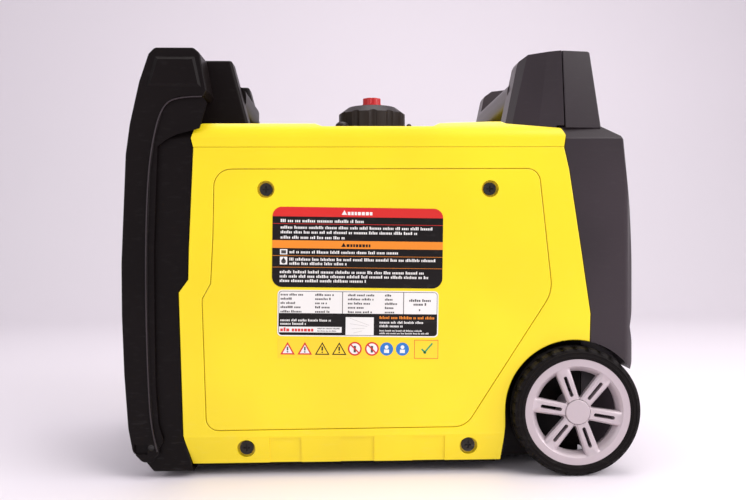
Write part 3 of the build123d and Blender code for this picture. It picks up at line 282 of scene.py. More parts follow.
# name: colour, roughness, metallic, grain per metre, bump depth, dust, wear, drift of shade, coat
# a finish without a colour of its own takes it from the settings
FINISHES = {
    "yellow_cover": (None, 0.34, 0.0, 900, 0.00003, 0.04, 0.10, 0.05, 0.12),
    "black_cover": (None, 0.40, 0.0, 900, 0.00006, 0.06, 0.06, 0.20, 0.0),
    "black_satin": ((0.028, 0.0200, 0.0245), 0.33, 0.0, 700, 0.00004, 0.06, 0.06, 0.20, 0.0),
    "cap_black": ((0.018, 0.012, 0.013), 0.42, 0.0, 800, 0.00006, 0.02, 0.06, 0.20, 0.0),
    "soft_black": ((0.010, 0.008, 0.009), 0.62, 0.0, 1400, 0.00012, 0.10, 0.30, 0.20, 0.0),
    "red_plastic": (None, 0.32, 0.0, 900, 0.00002, 0.0, 0.04, 0.08, 0.0),
    "grey_plastic": ((0.30, 0.28, 0.29), 0.42, 0.0, 900, 0.00004, 0.10, 0.20, 0.10, 0.0),
    "lamp_plastic": ((0.55, 0.05, 0.03), 0.16, 0.0, 500, 0.00001, 0.03, 0.05, 0.05, 0.4),
    "silver_paint": (None, 0.40, 0.35, 1500, 0.00002, 0.10, 0.30, 0.10, 0.15),
    "tyre_rubber": ((0.0050, 0.0036, 0.0036), 0.60, 0.0, 1600, 0.00010, 0.03, 0.04, 0.30, 0.0),
    "zinc_steel": ((0.58, 0.57, 0.55), 0.34, 1.0, 1800, 0.00002, 0.08, 0.25, 0.15, 0.0),
    "black_steel": ((0.03, 0.028, 0.028), 0.46, 0.6, 1300, 0.00005, 0.12, 0.35, 0.20, 0.0),
    "cast_aluminium": ((0.56, 0.55, 0.54), 0.52, 0.9, 700, 0.00020, 0.18, 0.35, 0.18, 0.0),
    "cast_iron": ((0.12, 0.11, 0.105), 0.62, 0.7, 600, 0.00025, 0.18, 0.35, 0.20, 0.0),
    "tank_plastic": ((0.045, 0.043, 0.045), 0.48, 0.0, 500, 0.00012, 0.22, 0.20, 0.20, 0.0),
    "rope_fibre": ((0.05, 0.045, 0.045), 0.85, 0.0, 900, 0.00030, 0.10, 0.10, 0.30, 0.0),
    # this black also serves as painted shade in the cross recesses of the control panel screws
    "film_black_and_recess_shade": ((0.008, 0.006, 0.006), 0.30, 0.0, 2000, 0.00001, 0.03, 0.15, 0.15, 0.2),
    "film_white": ((0.80, 0.79, 0.77), 0.32, 0.0, 2000, 0.00001, 0.03, 0.10, 0.04, 0.2),
    "film_yellow": ((0.90, 0.62, 0.015), 0.32, 0.0, 2000, 0.00001, 0.03, 0.10, 0.04, 0.2),
    "ink_red": ((0.62, 0.012, 0.008), 0.34, 0.0, 2000, 0.00001, 0.03, 0.10, 0.05, 0.2),
    "ink_orange": ((0.80, 0.24, 0.010), 0.34, 0.0, 2000, 0.00001, 0.03, 0.10, 0.05, 0.2),
    "ink_blue": ((0.01, 0.16, 0.52), 0.34, 0.0, 2000, 0.00001, 0.03, 0.10, 0.05, 0.2),
    "ink_green": ((0.03, 0.30, 0.10), 0.34, 0.0, 2000, 0.00001, 0.03, 0.10, 0.05, 0.2),
    "ink_grey": ((0.42, 0.41, 0.40), 0.34, 0.0, 2000, 0.00001, 0.03, 0.10, 0.05, 0.2),
    "ink_dark": ((0.05, 0.045, 0.045), 0.34, 0.0, 2000, 0.00001, 0.03, 0.10, 0.10, 0.2),
}


def finish(name, colour=None):
    """The named finish as a material, made once."""
    if name in MADE:
        return MADE[name]
    own, roughness, metallic, grain, depth, dust, wear, drift, coat = FINISHES[name]
    colour = tuple(colour or own)
    material = MADE[name] = bpy.data.materials.new(f"{name}_finish")
    material.use_nodes = True
    tree = material.node_tree
    shader = tree.nodes["Principled BSDF"]
    deep = tuple(c * (1 - drift) for c in colour)
    light = tuple(min(1.0, c * (1 + drift)) for c in colour)
    worn = tuple(c + (WORN_GREY - c) * WORN_SHARE for c in colour)
    tint = blended(tree, placed(tree, colour_drift, Scale=DRIFT_SCALE), deep, light)
    wear_mask = placed(tree, handling_wear, Amount=wear, Height=WEAR_HEIGHT, Scale=WEAR_SCALE)
    tint = blended(tree, wear_mask, tint, worn)
    tint = blended(tree, placed(tree, settled_dust, Amount=dust, Patches=DUST_PATCHES), tint, DUST)
    tree.links.new(tint, shader.inputs["Base Color"])
    height = placed(tree, moulded_grain, Scale=float(grain), Pebble=PEBBLE)
    rough = maths(tree, "ADD", maths(tree, "MULTIPLY", wear_mask, WEAR_ROUGHNESS), roughness)
    rough = maths(tree, "ADD", maths(tree, "MULTIPLY", height, GRAIN_ROUGHNESS), rough, True)
    tree.links.new(rough, shader.inputs["Roughness"])
    bump = tree.nodes.new("ShaderNodeBump")
    bump.inputs["Distance"].default_value = depth
    bump.inputs["Strength"].default_value = BUMP_STRENGTH
    tree.links.new(height, bump.inputs["Height"])
    tree.links.new(bump.outputs["Normal"], shader.inputs["Normal"])
    gloss = min(FULL_GLOSS, DULLEST_GLOSS + GLOSS_RISE * max(colour))
    shader.inputs["Metallic"].default_value = metallic
    shader.inputs["Specular IOR Level"].default_value = gloss
    shader.inputs["Coat Weight"].default_value = coat
    shader.inputs["Coat Roughness"].default_value = COAT_ROUGHNESS
    return material


def paint(material, *names):
    """Gives CAD nodes their finish."""
    for name in names:
        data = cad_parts[name].data
        data.materials.clear()
        data.materials.append(material)
        data.polygons.foreach_set("material_index", [0] * len(data.polygons))


# ---------------------------------------------------------------- making pieces
def piece_from(bm, name, materials, body, stands_for=(), sharp=35.0):
    """A finished object of the mesh, riding on its body."""
    mesh = bpy.data.meshes.new(name)
    bm.to_mesh(mesh)
    bm.free()
    for material in materials:
        mesh.materials.append(material)
    mesh.polygons.foreach_set("use_smooth", [True] * len(mesh.polygons))
    mesh.set_sharp_from_angle(angle=math.radians(sharp))
    piece = bpy.data.objects.new(name, mesh)
    bpy.context.scene.collection.objects.link(piece)
    if body:
        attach(piece, body)
    if stands_for:
        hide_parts(*stands_for)
    return piece


def closed(bm):
    """Joins the seams of a mesh and turns its faces outwards."""
    bmesh.ops.remove_doubles(bm, verts=bm.verts, dist=TOUCHING)
    bmesh.ops.recalc_face_normals(bm, faces=bm.faces)


def points_of(made):
    """The points among what an operator made."""
    return [v for v in made["geom"] if isinstance(v, bmesh.types.BMVert)]


def spun(bm, outline, centre, axis, steps):
    """A closed ring of the outline turned round an axis. Its points are (distance out, along the axis)."""
    centre, axis = Vector(centre), Vector(axis).normalized()
    out = axis.orthogonal().normalized()
    ring = [bm.verts.new(centre + out * r + axis * along) for r, along in outline]
    edges = [bm.edges.new(pair) for pair in zip(ring, ring[1:] + ring[:1])]
    bmesh.ops.spin(bm, geom=ring + edges, cent=centre, axis=axis, angle=FULL_TURN, steps=steps,
                   use_merge=True)
    closed(bm)


def coloured(verts, index):
    """Gives the faces round some points one of the piece's materials."""
    for face in {f for v in verts for f in v.link_faces}:
        face.material_index = index


def block(bm, low, high, index=0, turn=None):
    """A box between two corners, turned round its own middle if a matrix is given."""
    low, high = Vector(low), Vector(high)
    matrix = Matrix.Translation((low + high) / 2)
    if turn:
        matrix = matrix @ turn
    made = bmesh.ops.create_cube(bm, size=1, matrix=matrix @ Matrix.Diagonal((*(high - low), 1)))
    coloured(made["verts"], index)
    return made["verts"]


def disc(bm, centre, radius, depth, segments, index):
    """A flat disc, or a triangle with its point up, facing along -Y."""
    matrix = Matrix.Translation(centre) @ Matrix.Rotation(QUARTER_TURN, 4, "X")
    made = bmesh.ops.create_cone(
        bm, cap_ends=True, segments=segments, radius1=radius, radius2=radius, depth=depth, matrix=matrix)
    coloured(made["verts"], index)


# ---------------------------------------------------------------- finishes
class GENERATOR_OT_housing(bpy.types.Operator):
    """Finish the yellow and black covers, handles, cap and controls"""

    bl_idname = "generator.housing"
    bl_label = "Housing Finish"

    def execute(self, context):
        sizes = context.scene.generator_housing
        yellow = finish("yellow_cover", sizes.yellow)
        paint(yellow, "left_side_cover", "right_side_cover", "service_panel", "top_cover")
        black = finish("black_cover", sizes.black)
        paint(black, "front_end_cover", "base_tray", "wheel_arch_liners",
              "pull_handle_left_arm", "pull_handle_right_arm", "front_carry_handle", "control_panel")
        satin = finish("black_satin")
        paint(satin, "rear_carry_handle", "rear_end_cover", "eco_rocker", "outlets")
        paint(finish("cap_black"), "fuel_cap", "fuel_cap_seat", "cap_tether")
        paint(finish("soft_black"), "pull_handle_grip", "recoil_grip")
        paint(finish("red_plastic", sizes.red), "vent_knob", "engine_switch_knob", "start_button")
        paint(finish("grey_plastic"), "left_socket_lid", "right_socket_lid", "breaker_button")
        paint(finish("lamp_plastic"), "indicator_lamps")
        paint(finish("film_black_and_recess_shade"), "label_plates")
        return {"FINISHED"}


class GENERATOR_OT_machinery(bpy.types.Operator):
    """Finish the engine, tank, starter and other parts inside the housing"""

    bl_idname = "generator.machinery"
    bl_label = "Machinery Finish"

    def execute(self, context):
        paint(finish("cast_aluminium"), "crankcase", "cylinder_head", "carburettor", "inverter_module")
        paint(finish("cast_iron"), "cylinder", "flywheel", "stator")
        paint(finish("zinc_steel"), "filler_neck", "exhaust_outlet", "crankshaft", "earth_terminal")
        paint(finish("black_steel"), "muffler", "service_panel_screws", "skirt_screws")
        paint(finish("tank_plastic"), "fuel_tank", "air_filter_box", "recoil_housing", "recoil_pulley")
        paint(finish("soft_black"), "spark_plug")
        paint(finish("cap_black"), "oil_dipstick")
        paint(finish("rope_fibre"), "recoil_rope")
        return {"FINISHED"}


class GENERATOR_OT_wheel_finish(bpy.types.Operator):
    """Finish the rims, hub caps, axle, pins and feet"""

    bl_idname = "generator.wheel_finish"
    bl_label = "Wheel Finish"

    def execute(self, context):
        silver = finish("silver_paint", context.scene.generator_wheels.paint)
        paint(silver, "left_rim", "right_rim", "left_hub_cap", "right_hub_cap")
        for side in ("left", "right"):
            self.turned_rim(side, silver, context.scene.generator_wheels.rim_turn)
        paint(finish("zinc_steel"), "axle")
        paint(finish("black_steel"), "pivot_pins_and_clips")
        paint(finish("black_satin"), "left_wheel_bush", "right_wheel_bush")
        paint(finish("soft_black"), "rubber_feet_and_mounts")
        return {"FINISHED"}

    def turned_rim(self, side, silver, turn):
        """The rim, turned on its axle so that its spokes stand as they come to rest."""
        low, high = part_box(f"{side}_rim")
        bm = bmesh.new()
        bm.from_mesh(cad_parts[f"{side}_rim"].data)
        bmesh.ops.remove_doubles(bm, verts=bm.verts, dist=TOUCHING)
        bmesh.ops.rotate(bm, verts=bm.verts, cent=(low + high) / 2, matrix=Matrix.Rotation(turn, 3, "Y"))
        piece_from(bm, f"{side}_spoked_rim", [silver], f"{side}_wheel", [f"{side}_rim"],
                   sharp=18.0)


# ---------------------------------------------------------------- tyres
class GENERATOR_OT_tyres(bpy.types.Operator):
    """Turn the two tyres, with lugs on their shoulders and rings on their sidewalls"""

    bl_idname = "generator.tyres"
    bl_label = "Tyres"

    def execute(self, context):
        sizes = context.scene.generator_wheels
        for side in ("left", "right"):
            self.tyre(side, sizes)
        return {"FINISHED"}

    def tyre(self, side, sizes):
        low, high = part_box(f"{side}_tyre")
        rim_low, rim_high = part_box(f"{side}_rim")
        room_round_rim = 0.1 * MM
        bead = (rim_high.x - rim_low.x) / 2 + room_round_rim
        centre = (low + high) / 2
        radius = (high.x - low.x) / 2
        half = (high.y - low.y) / 2
        ring = sizes.ring_height
        shoulder_width = 12.0 * MM
        shoulder_drop = 3.0 * MM
        # from the bead up the sidewall, over its two raised rings, to the middle of the tread
        wall = [(bead, half - 0.8 * MM), (bead + 1.6 * MM, half), (bead + 3.0 * MM, half),
                (bead + 3.3 * MM, half + ring), (bead + 4.1 * MM, half + ring), (bead + 4.4 * MM, half),
                (bead + 7.2 * MM, half - 0.1 * MM), (bead + 7.5 * MM, half - 0.1 * MM + ring),
                (bead + 8.2 * MM, half - 0.1 * MM + ring), (bead + 8.5 * MM, half - 0.3 * MM),
                (radius - 3.2 * MM, half - 0.9 * MM), (radius - 1.4 * MM, half - 2.2 * MM),
                (radius - 0.4 * MM, half - 4.6 * MM), (radius, half - 7.4 * MM),
                (radius, half - shoulder_width), (radius, 2.4 * MM), (radius - 2.0 * MM, 1.4 * MM)]
        outline = wall + [(r, -along) for r, along in reversed(wall)]
        bm = bmesh.new()
        steps_per_lug = 4
        spun(bm, outline, centre, (0, 1, 0), sizes.lugs * steps_per_lug)
        pitch = FULL_TURN / sizes.lugs
        grooves = []
        for face in bm.faces:
            place = face.calc_center_median() - centre
            out = math.hypot(place.x, place.z)
            turn = (math.atan2(place.z, place.x) + FULL_TURN) % pitch
            on_shoulder = abs(place.y) > half - shoulder_width and out > radius - shoulder_drop
            if on_shoulder and turn < pitch / steps_per_lug:
                grooves.append(face)
        made = bmesh.ops.extrude_face_region(bm, geom=grooves)
        for vert in points_of(made):
            place = vert.co - centre
            vert.co -= Vector((place.x, 0, place.z)).normalized() * sizes.groove_depth
        bmesh.ops.recalc_face_normals(bm, faces=bm.faces)
        piece_from(bm, f"{side}_treaded_tyre", [finish("tyre_rubber")], f"{side}_wheel",
                   [f"{side}_tyre"], sharp=30.0)


# ---------------------------------------------------------------- pull handle
# The inner edge of an arm from foot to head, and the back of its web from head to foot.
# Each place is back from the nose and up from the floor, in millimetres.
ARM_EDGE = [(40.0, 34), (33.2, 60), (30.4, 108), (28.6, 180), (28.6, 266), (31.5, 345), (38.0, 393),
            (48.0, 428), (64.0, 440.6), (94.0, 440.6)]
ARM_BACK = [(99.0, 434), (90.0, 405), (64.0, 398), (52.0, 392), (42.0, 384), (37.0, 266), (37.0, 180),
            (37.6, 108), (40.5, 64), (46.0, 46)]


class GENERATOR_OT_arm_trim(bpy.types.Operator):
    """Close the inner side of each pull handle arm with a thin web and a rolled lip along it"""

    bl_idname = "generator.arm_trim"
    bl_label = "Arm Trim"

    def execute(self, context):
        arm_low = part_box("pull_handle_left_arm")[0]
        web_inset, web_thickness, lip_inset = 3.9 * MM, 1.6 * MM, 0.7 * MM
        for side, sign in (("left", 1), ("right", -1)):
            outer = sign * arm_low.y
            self.web(side, arm_low.x, outer + sign * web_inset, sign * web_thickness)
            self.lip(side, arm_low.x, outer + sign * lip_inset)
        return {"FINISHED"}

    def web(self, side, nose, start, depth):
        """A flat plate between the arm's edge and its back."""
        bm = bmesh.new()
        outline = [bm.verts.new((nose + along * MM, start, up * MM)) for along, up in ARM_EDGE + ARM_BACK]
        made = bmesh.ops.extrude_face_region(bm, geom=[bm.faces.new(outline)], use_keep_orig=True)
        bmesh.ops.translate(bm, verts=points_of(made), vec=(0, depth, 0))
        bmesh.ops.recalc_face_normals(bm, faces=bm.faces)
        piece_from(bm, f"{side}_arm_web", [finish("black_cover")], "pull_handle")

    def lip(self, side, nose, level):
        """A round bead along the arm's edge."""
        radius = 0.75 * MM
        lead = 0.4
        curve = bpy.data.curves.new(f"{side}_lip_line", "CURVE")
        curve.dimensions = "3D"
        curve.bevel_depth = radius
        curve.bevel_resolution = 3
        curve.use_fill_caps = True
        line = curve.splines.new("NURBS")
        line.points.add(len(ARM_EDGE) - 1)
        for point, (along, up) in zip(line.points, ARM_EDGE):
            point.co = (nose + (along - lead) * MM, level, up * MM, 1)
        line.order_u = 3
        line.use_endpoint_u = True
        shape = bpy.data.objects.new(f"{side}_lip_line", curve)
        bpy.context.scene.collection.objects.link(shape)
        mesh = bpy.data.meshes.new_from_object(shape)
        bpy.data.objects.remove(shape)
        bm = bmesh.new()
        bm.from_mesh(mesh)
        closed(bm)
        bpy.data.meshes.remove(mesh)
        piece_from(bm, f"{side}_arm_lip", [finish("black_satin")], "pull_handle", sharp=60.0)


# ---------------------------------------------------------------- printed plates
INKS = ["film_black_and_recess_shade", "film_white", "film_yellow", "ink_red", "ink_orange", "ink_blue", "ink_green",
        "ink_grey", "ink_dark"]
BLACK, WHITE, YELLOW, RED, ORANGE, BLUE, GREEN, GREY, DARK = range(len(INKS))


class Plate:
    """A printed film on the service panel. Places on it are in millimetres from its middle, across and up."""

    def __init__(self, name, middle, half_width, half_height, corner, base, sizes):
        self.name, self.middle, self.sizes = name, Vector(middle), sizes
        self.tilt = Matrix.Rotation(sizes.tilt, 4, "Y")
        self.chance = random.Random(sizes.seed + len(name))
        self.bm = bmesh.new()
        front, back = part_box("label_plates")
        self.face = front.y
        verts = block(self.bm, (-half_width * MM, 0, -half_height * MM),
                      (half_width * MM, back.y - self.face, half_height * MM), base)
        if corner:
            self.round(verts, corner)

    def round(self, verts, corner, above=-math.inf):
        """Rounds the corners of a printed rectangle that lie above a height."""
        through = []
        for edge in {e for v in verts for e in v.link_edges}:
            first, second = (v.co for v in edge.verts)
            crosses = abs(first.z - second.z) < TOUCHING and abs(first.x - second.x) < TOUCHING
            if crosses and first.z > above * MM:
                through.append(edge)
        bmesh.ops.bevel(self.bm, geom=through, offset=corner * MM, offset_type="OFFSET", segments=8,
                        profile=0.5, affect="EDGES", material=-1)

    def patch(self, u0, u1, v0, v1, level, ink, turn=0.0):
        """A printed rectangle on one of the layers of ink."""
        ink_height = self.sizes.ink
        matrix = Matrix.Rotation(turn, 4, "Y") if turn else None
        return block(self.bm, (u0 * MM, -level * ink_height, v0 * MM),
                     (u1 * MM, -(level - 1) * ink_height, v1 * MM), ink, matrix)

    def mark(self, u, v, radius, segments, level, ink):
        """A printed disc, or a triangle if it has three sides."""
        ink_height = self.sizes.ink
        disc(self.bm, (u * MM, -(level - 0.5) * ink_height, v * MM), radius * MM, ink_height, segments, ink)

    def line(self, u0, u1, v, height, level, ink, bold=0.42):
        """A line of letter-like blocks in words of uneven length."""
        short, tall, between_letters, between_words = 0.72, 1.0, 0.2, 0.5
        u = u0
        base = v - height / 2
        left = self.chance.randint(3, 8)
        while u < u1 - 0.5 * height:
            wide = height * bold * self.chance.uniform(0.65, 1.1)
            rise = height * self.chance.choice((short, short, short, tall))
            self.patch(u, min(u + wide, u1), base, base + rise, level, ink)
            u += wide + height * between_letters
            left -= 1
            if left == 0:
                u += height * between_words
                left = self.chance.randint(2, 9)

    def done(self):
        """Turns the film onto the panel and makes the piece."""
        place = Matrix.Translation((self.middle.x * MM, self.face, self.middle.z * MM)) @ self.tilt
        bmesh.ops.transform(self.bm, matrix=place, verts=self.bm.verts)
        bmesh.ops.recalc_face_normals(self.bm, faces=self.bm.faces)
        piece_from(self.bm, self.name, [finish(ink) for ink in INKS], "service_panel",
                   ["label_plates"], sharp=20.0)


class GENERATOR_OT_printed_plates(bpy.types.Operator):
    """Print the caution plate, the rating plate and the strip of symbols"""

    bl_idname = "generator.printed_plates"
    bl_label = "Printed Plates"

    def execute(self, context):
        sizes = context.scene.generator_plates
        self.caution_plate(sizes)
        self.rating_plate(sizes)
        self.symbol_strip(sizes)
        return {"FINISHED"}

    def caution_plate(self, sizes):
        half_width, half_height, text = 99, 46.5, 3.4
        plate = Plate("caution_plate", (-29, 0, 266.8), half_width, half_height, 12, BLACK, sizes)
        band = plate.patch(-half_width, half_width, 35.4, half_height, 1, RED)
        plate.round(band, 11, above=40)
        plate.mark(-16, 39.8, 3.6, 3, 2, WHITE)
        plate.line(-12, 20, 40.4, 5.2, 2, WHITE, 0.7)
        plate.line(-89.5, 9, 30.5, 3.6, 1, WHITE)
        plate.patch(-half_width, half_width, 26.8, 27.3, 1, RED)
        for v, end in ((22.9, 89), (17.4, 69), (11.3, -15)):
            plate.line(-89.5, end, v, text, 1, WHITE)
        plate.patch(-half_width, half_width, -1.3, 7.8, 1, ORANGE)
        plate.mark(-16.5, 2.4, 3.2, 3, 2, BLACK)
        plate.line(-13, 20, 3.0, 4.6, 2, BLACK, 0.7)
        plate.patch(-90, -81.5, -8.7, -2.6, 1, WHITE)
        plate.patch(-88.6, -83, -7.6, -3.8, 2, DARK)
        plate.line(-79, 48, -5.6, text, 1, WHITE)
        plate.patch(-half_width, half_width, -10.2, -9.8, 1, ORANGE)
        plate.patch(-90, -81.5, -20.3, -11.4, 1, WHITE)
        plate.mark(-85.8, -16.6, 2.7, 20, 2, DARK)
        plate.mark(-85.8, -14.4, 2.6, 3, 2, DARK)
        plate.line(-79, 92, -14, text, 1, WHITE)
        plate.line(-79, -12, -18.9, text, 1, WHITE)
        plate.patch(-half_width, half_width, -23.6, -23.2, 1, ORANGE)
        for v, end in ((-28.7, 79), (-33.8, 83), (-38.9, 12)):
            plate.line(-90, end, v, text, 1, WHITE)
        plate.done()

    def rating_plate(self, sizes):
        plate = Plate("rating_plate", (-29, 0, 190.2), 93.5, 26.9, 5, WHITE, sizes)
        plate.round(plate.patch(-92.2, 92.2, -25.5, 25.6, 1, BLACK), 4)
        plate.round(plate.patch(-91.6, 91.6, 0, 25.0, 2, WHITE), 3.4, above=10)
        for u in (-18.3, 52.8):
            plate.patch(u - 0.4, u + 0.4, 0, 25, 3, DARK)
        # where each column of the table starts, and its shortest and longest entries
        columns = ((-90, 12, 27), (-50, 10, 22), (-12, 12, 36), (31, 7, 18))
        for v in (21.6, 16.8, 11.9, 7.1, 2.0):
            for start, shortest, longest in columns:
                end = start + plate.chance.uniform(shortest, longest)
                plate.line(start, end, v, 2.6, 3, DARK, 0.6)
        for v, half in ((16, 13), (11.5, 8), (5.2, 1.6)):
            plate.line(72.4 - half, 72.4 + half, v, 3.0, 3, DARK, 0.6)
        for end, v in ((-30, -8.1), (-59, -12.2)):
            plate.line(-90, end, v, 2.8, 3, WHITE)
        plate.patch(-91.5, -19, -22.3, -15.7, 3, WHITE)
        plate.line(-90, -50, -19, 4.4, 4, RED, 0.75)
        for end, v in ((-21, -17.6), (-24, -20.4)):
            plate.line(-47, end, v, 1.6, 4, DARK)
        plate.patch(-14.4, 18.3, -25, -4.1, 3, WHITE)
        # four thin lines that stand for a sketch of the outlets
        for step in range(4):
            plate.patch(-11.5 + 2 * step, 14 - 3 * step, -9.4 - 4.0 * step, -9.1 - 4.0 * step, 4, GREY,
                        turn=0.35 - 0.2 * step)
        plate.line(25, 90, -4.3, 3.2, 3, ORANGE)
        for end, v, height in ((79, -9.8, 2.8), (53, -14.1, 2.8), (75, -19.5, 1.8), (83, -22.6, 1.8)):
            plate.line(25, end, v, height, 3, WHITE)
        plate.done()

    def symbol_strip(self, sizes):
        plate = Plate("symbol_strip", (-29, 0, 149.3), 93.5, 11.3, 0, YELLOW, sizes)
        # two red triangles, two black triangles, two red rings with a bar, two blue discs and a tick
        for u in (-82.1, -62.1):
            plate.mark(u, -2.4, 9.8, 3, 1, RED)
            plate.mark(u, -2.4, 6.6, 3, 2, WHITE)
            plate.patch(u - 0.9, u + 0.9, -2.4, 1.8, 3, DARK)
            plate.mark(u, -4.1, 0.9, 12, 3, DARK)
        for u in (-41.9, -22.2):
            plate.mark(u, -2.4, 9.8, 3, 1, BLACK)
            plate.mark(u, -2.4, 7.4, 3, 2, YELLOW)
            plate.patch(u - 0.9, u + 0.9, -2.4, 2.2, 3, BLACK)
            plate.mark(u, -4.3, 0.9, 12, 3, BLACK)
        for u in (-4.1, 15.8):
            plate.mark(u, 0, 8.1, 32, 1, RED)
            plate.mark(u, 0, 6.3, 32, 2, WHITE)
            plate.patch(u - 1.3, u + 1.3, -4.2, 3.4, 3, DARK)
            plate.patch(u - 6.6, u + 6.6, -0.8, 0.8, 4, RED, EIGHTH_TURN)
        for u in (32.9, 51.4):
            plate.mark(u, 0, 7.7, 32, 1, BLUE)
            plate.mark(u, 2.2, 2.2, 20, 2, WHITE)
            plate.patch(u - 2.9, u + 2.9, -4.6, -0.6, 2, WHITE)
        plate.patch(65.2, 93.2, -10.9, 10.9, 1, RED)
        plate.patch(65.8, 92.6, -10.3, 10.3, 2, YELLOW)
        plate.patch(72.6, 80.0, -3.2, -1.2, 3, GREEN, EIGHTH_TURN)
        plate.patch(73.6, 89.0, 0.1, 2.1, 3, GREEN, math.radians(-50))
        plate.done()


# ---------------------------------------------------------------- control panel
class GENERATOR_OT_panel_prints(bpy.types.Operator):
    """Print scales and frames on the control panel and fit its screws"""

    bl_idname = "generator.panel_prints"
    bl_label = "Control Panel Prints"

    def execute(self, context):
        low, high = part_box("control_panel")
        self.prints(low.x)
        self.screws(low, high)
        return {"FINISHED"}

    def prints(self, face):
        """The knob's scale, the frames round the buttons and a bar over each lamp."""
        ink = 0.15 * MM
        bm = bmesh.new()

        def strip(y, z, half_y, half_z, turn=None):
            block(bm, (face - ink, y - half_y, z - half_z), (face, y + half_y, z + half_z), turn=turn)

        knob_low, knob_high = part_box("engine_switch_knob")
        knob = (knob_low + knob_high) / 2
        scale_radius = 26 * MM
        for degrees in range(-30, 121, 25):
            turn = math.radians(degrees)
            strip(knob.y + scale_radius * math.cos(turn), knob.z + scale_radius * math.sin(turn),
                  2.0 * MM, 0.5 * MM, Matrix.Rotation(turn, 4, "X"))

        margin, half_line = 5 * MM, 0.3 * MM
        for node in ("start_button", "breaker_button", "eco_rocker"):
            low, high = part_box(node)
            y, z = (low.y + high.y) / 2, (low.z + high.z) / 2
            half_y, half_z = (high.y - low.y) / 2 + margin, (high.z - low.z) / 2 + margin
            for sign in (-1, 1):
                strip(y, z + sign * half_z, half_y, half_line)
                strip(y + sign * half_y, z, half_line, half_z)

        lamp_low, lamp_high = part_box("indicator_lamps")
        above_lamps = 6 * MM
        for share in (0.08, 0.5, 0.92):
            y = lamp_low.y + (lamp_high.y - lamp_low.y) * share
            strip(y, lamp_high.z + above_lamps, 4 * MM, 1.0 * MM)
        piece_from(bm, "control_panel_prints", [finish("film_white")], ROOT_BODY)

    def screws(self, low, high):
        """Six round-headed cross screws, three down each side of the panel."""
        bm = bmesh.new()
        inset = 8 * MM
        for y in (low.y + inset, high.y - inset):
            for z in (low.z + inset, (low.z + high.z) / 2, high.z - inset):
                self.screw(bm, low.x, y, z)
        # the second finish is a darker black that paints the shade of each screw's cross recess
        piece_from(bm, "control_panel_screws", [finish("black_steel"), finish("film_black_and_recess_shade")], ROOT_BODY)

    def screw(self, bm, face, y, z):
        """One screw, its head proud of the face, and on its top a cross of darker black that stands just
        proud of the head: painted shade in place of a cut recess.
        """
        # from the middle of the seat out to the rim and back over the top: distance out, place along
        head = [(0.0, 0.0), (3.6 * MM, 0.0), (3.6 * MM, -0.9 * MM), (2.6 * MM, -1.9 * MM), (0.0, -2.1 * MM)]
        half_slot, half_width, slot_top, slot_foot = 2.2 * MM, 0.35 * MM, 2.3 * MM, 1.6 * MM
        one = bmesh.new()
        outline = [one.verts.new((face + along, y + r, z)) for r, along in head]
        edges = [one.edges.new(pair) for pair in zip(outline, outline[1:])]
        bmesh.ops.spin(one, geom=outline + edges, cent=(face, y, z), axis=(1, 0, 0), angle=FULL_TURN,
                       steps=20, use_merge=True)
        bmesh.ops.remove_doubles(one, verts=one.verts, dist=TOUCHING)
        # the cross is a block of darker black, partly sunk into the head and standing a little above it:
        # painted shade for the recess of a cross screw
        for turn in (0, QUARTER_TURN):
            block(one, (face - slot_top, y - half_slot, z - half_width),
                  (face - slot_foot, y + half_slot, z + half_width), 1, Matrix.Rotation(turn, 4, "X"))
        bmesh.ops.recalc_face_normals(one, faces=one.faces)
        mesh = bpy.data.meshes.new("one_screw")
        one.to_mesh(mesh)
        one.free()
        bm.from_mesh(mesh)
        bpy.data.meshes.remove(mesh)


# ---------------------------------------------------------------- stage
# where each light stands, its width and its colour; the power is a setting
LIGHTS = {
    "key": ((1.5, -1.7, 1.9), 1.5, (1.0, 0.97, 0.96)),
    "fill": ((-1.9, -1.5, 1.1), 1.8, (0.97, 0.97, 1.0)),
    "top": ((0.2, 0.1, 2.3), 1.8, (1.0, 0.98, 0.98)),
    "edge": ((2.0, -0.7, 0.8), 1.1, (1.0, 0.97, 1.0)),
}
LIGHT_AIM = (0, 0, 0.22)
AIR_COLOUR = (0.90, 0.87, 0.92, 1.0)
AIR_STRENGTH = 0.55
FLOOR_ROUGHNESS = 0.55
FLOOR_SHADE = 0.985
FLOOR_PATCHES = 0.8
# the camera looks square on at the service panel: its place, and its heading, tilt and roll in degrees
CAMERA_PLACE = (-0.04281, -1.06392, 0.27761)
CAMERA_HEADING = -1.967
CAMERA_TILT = 89.157
CAMERA_ROLL = -0.28
SENSOR_WIDTH = 36.0


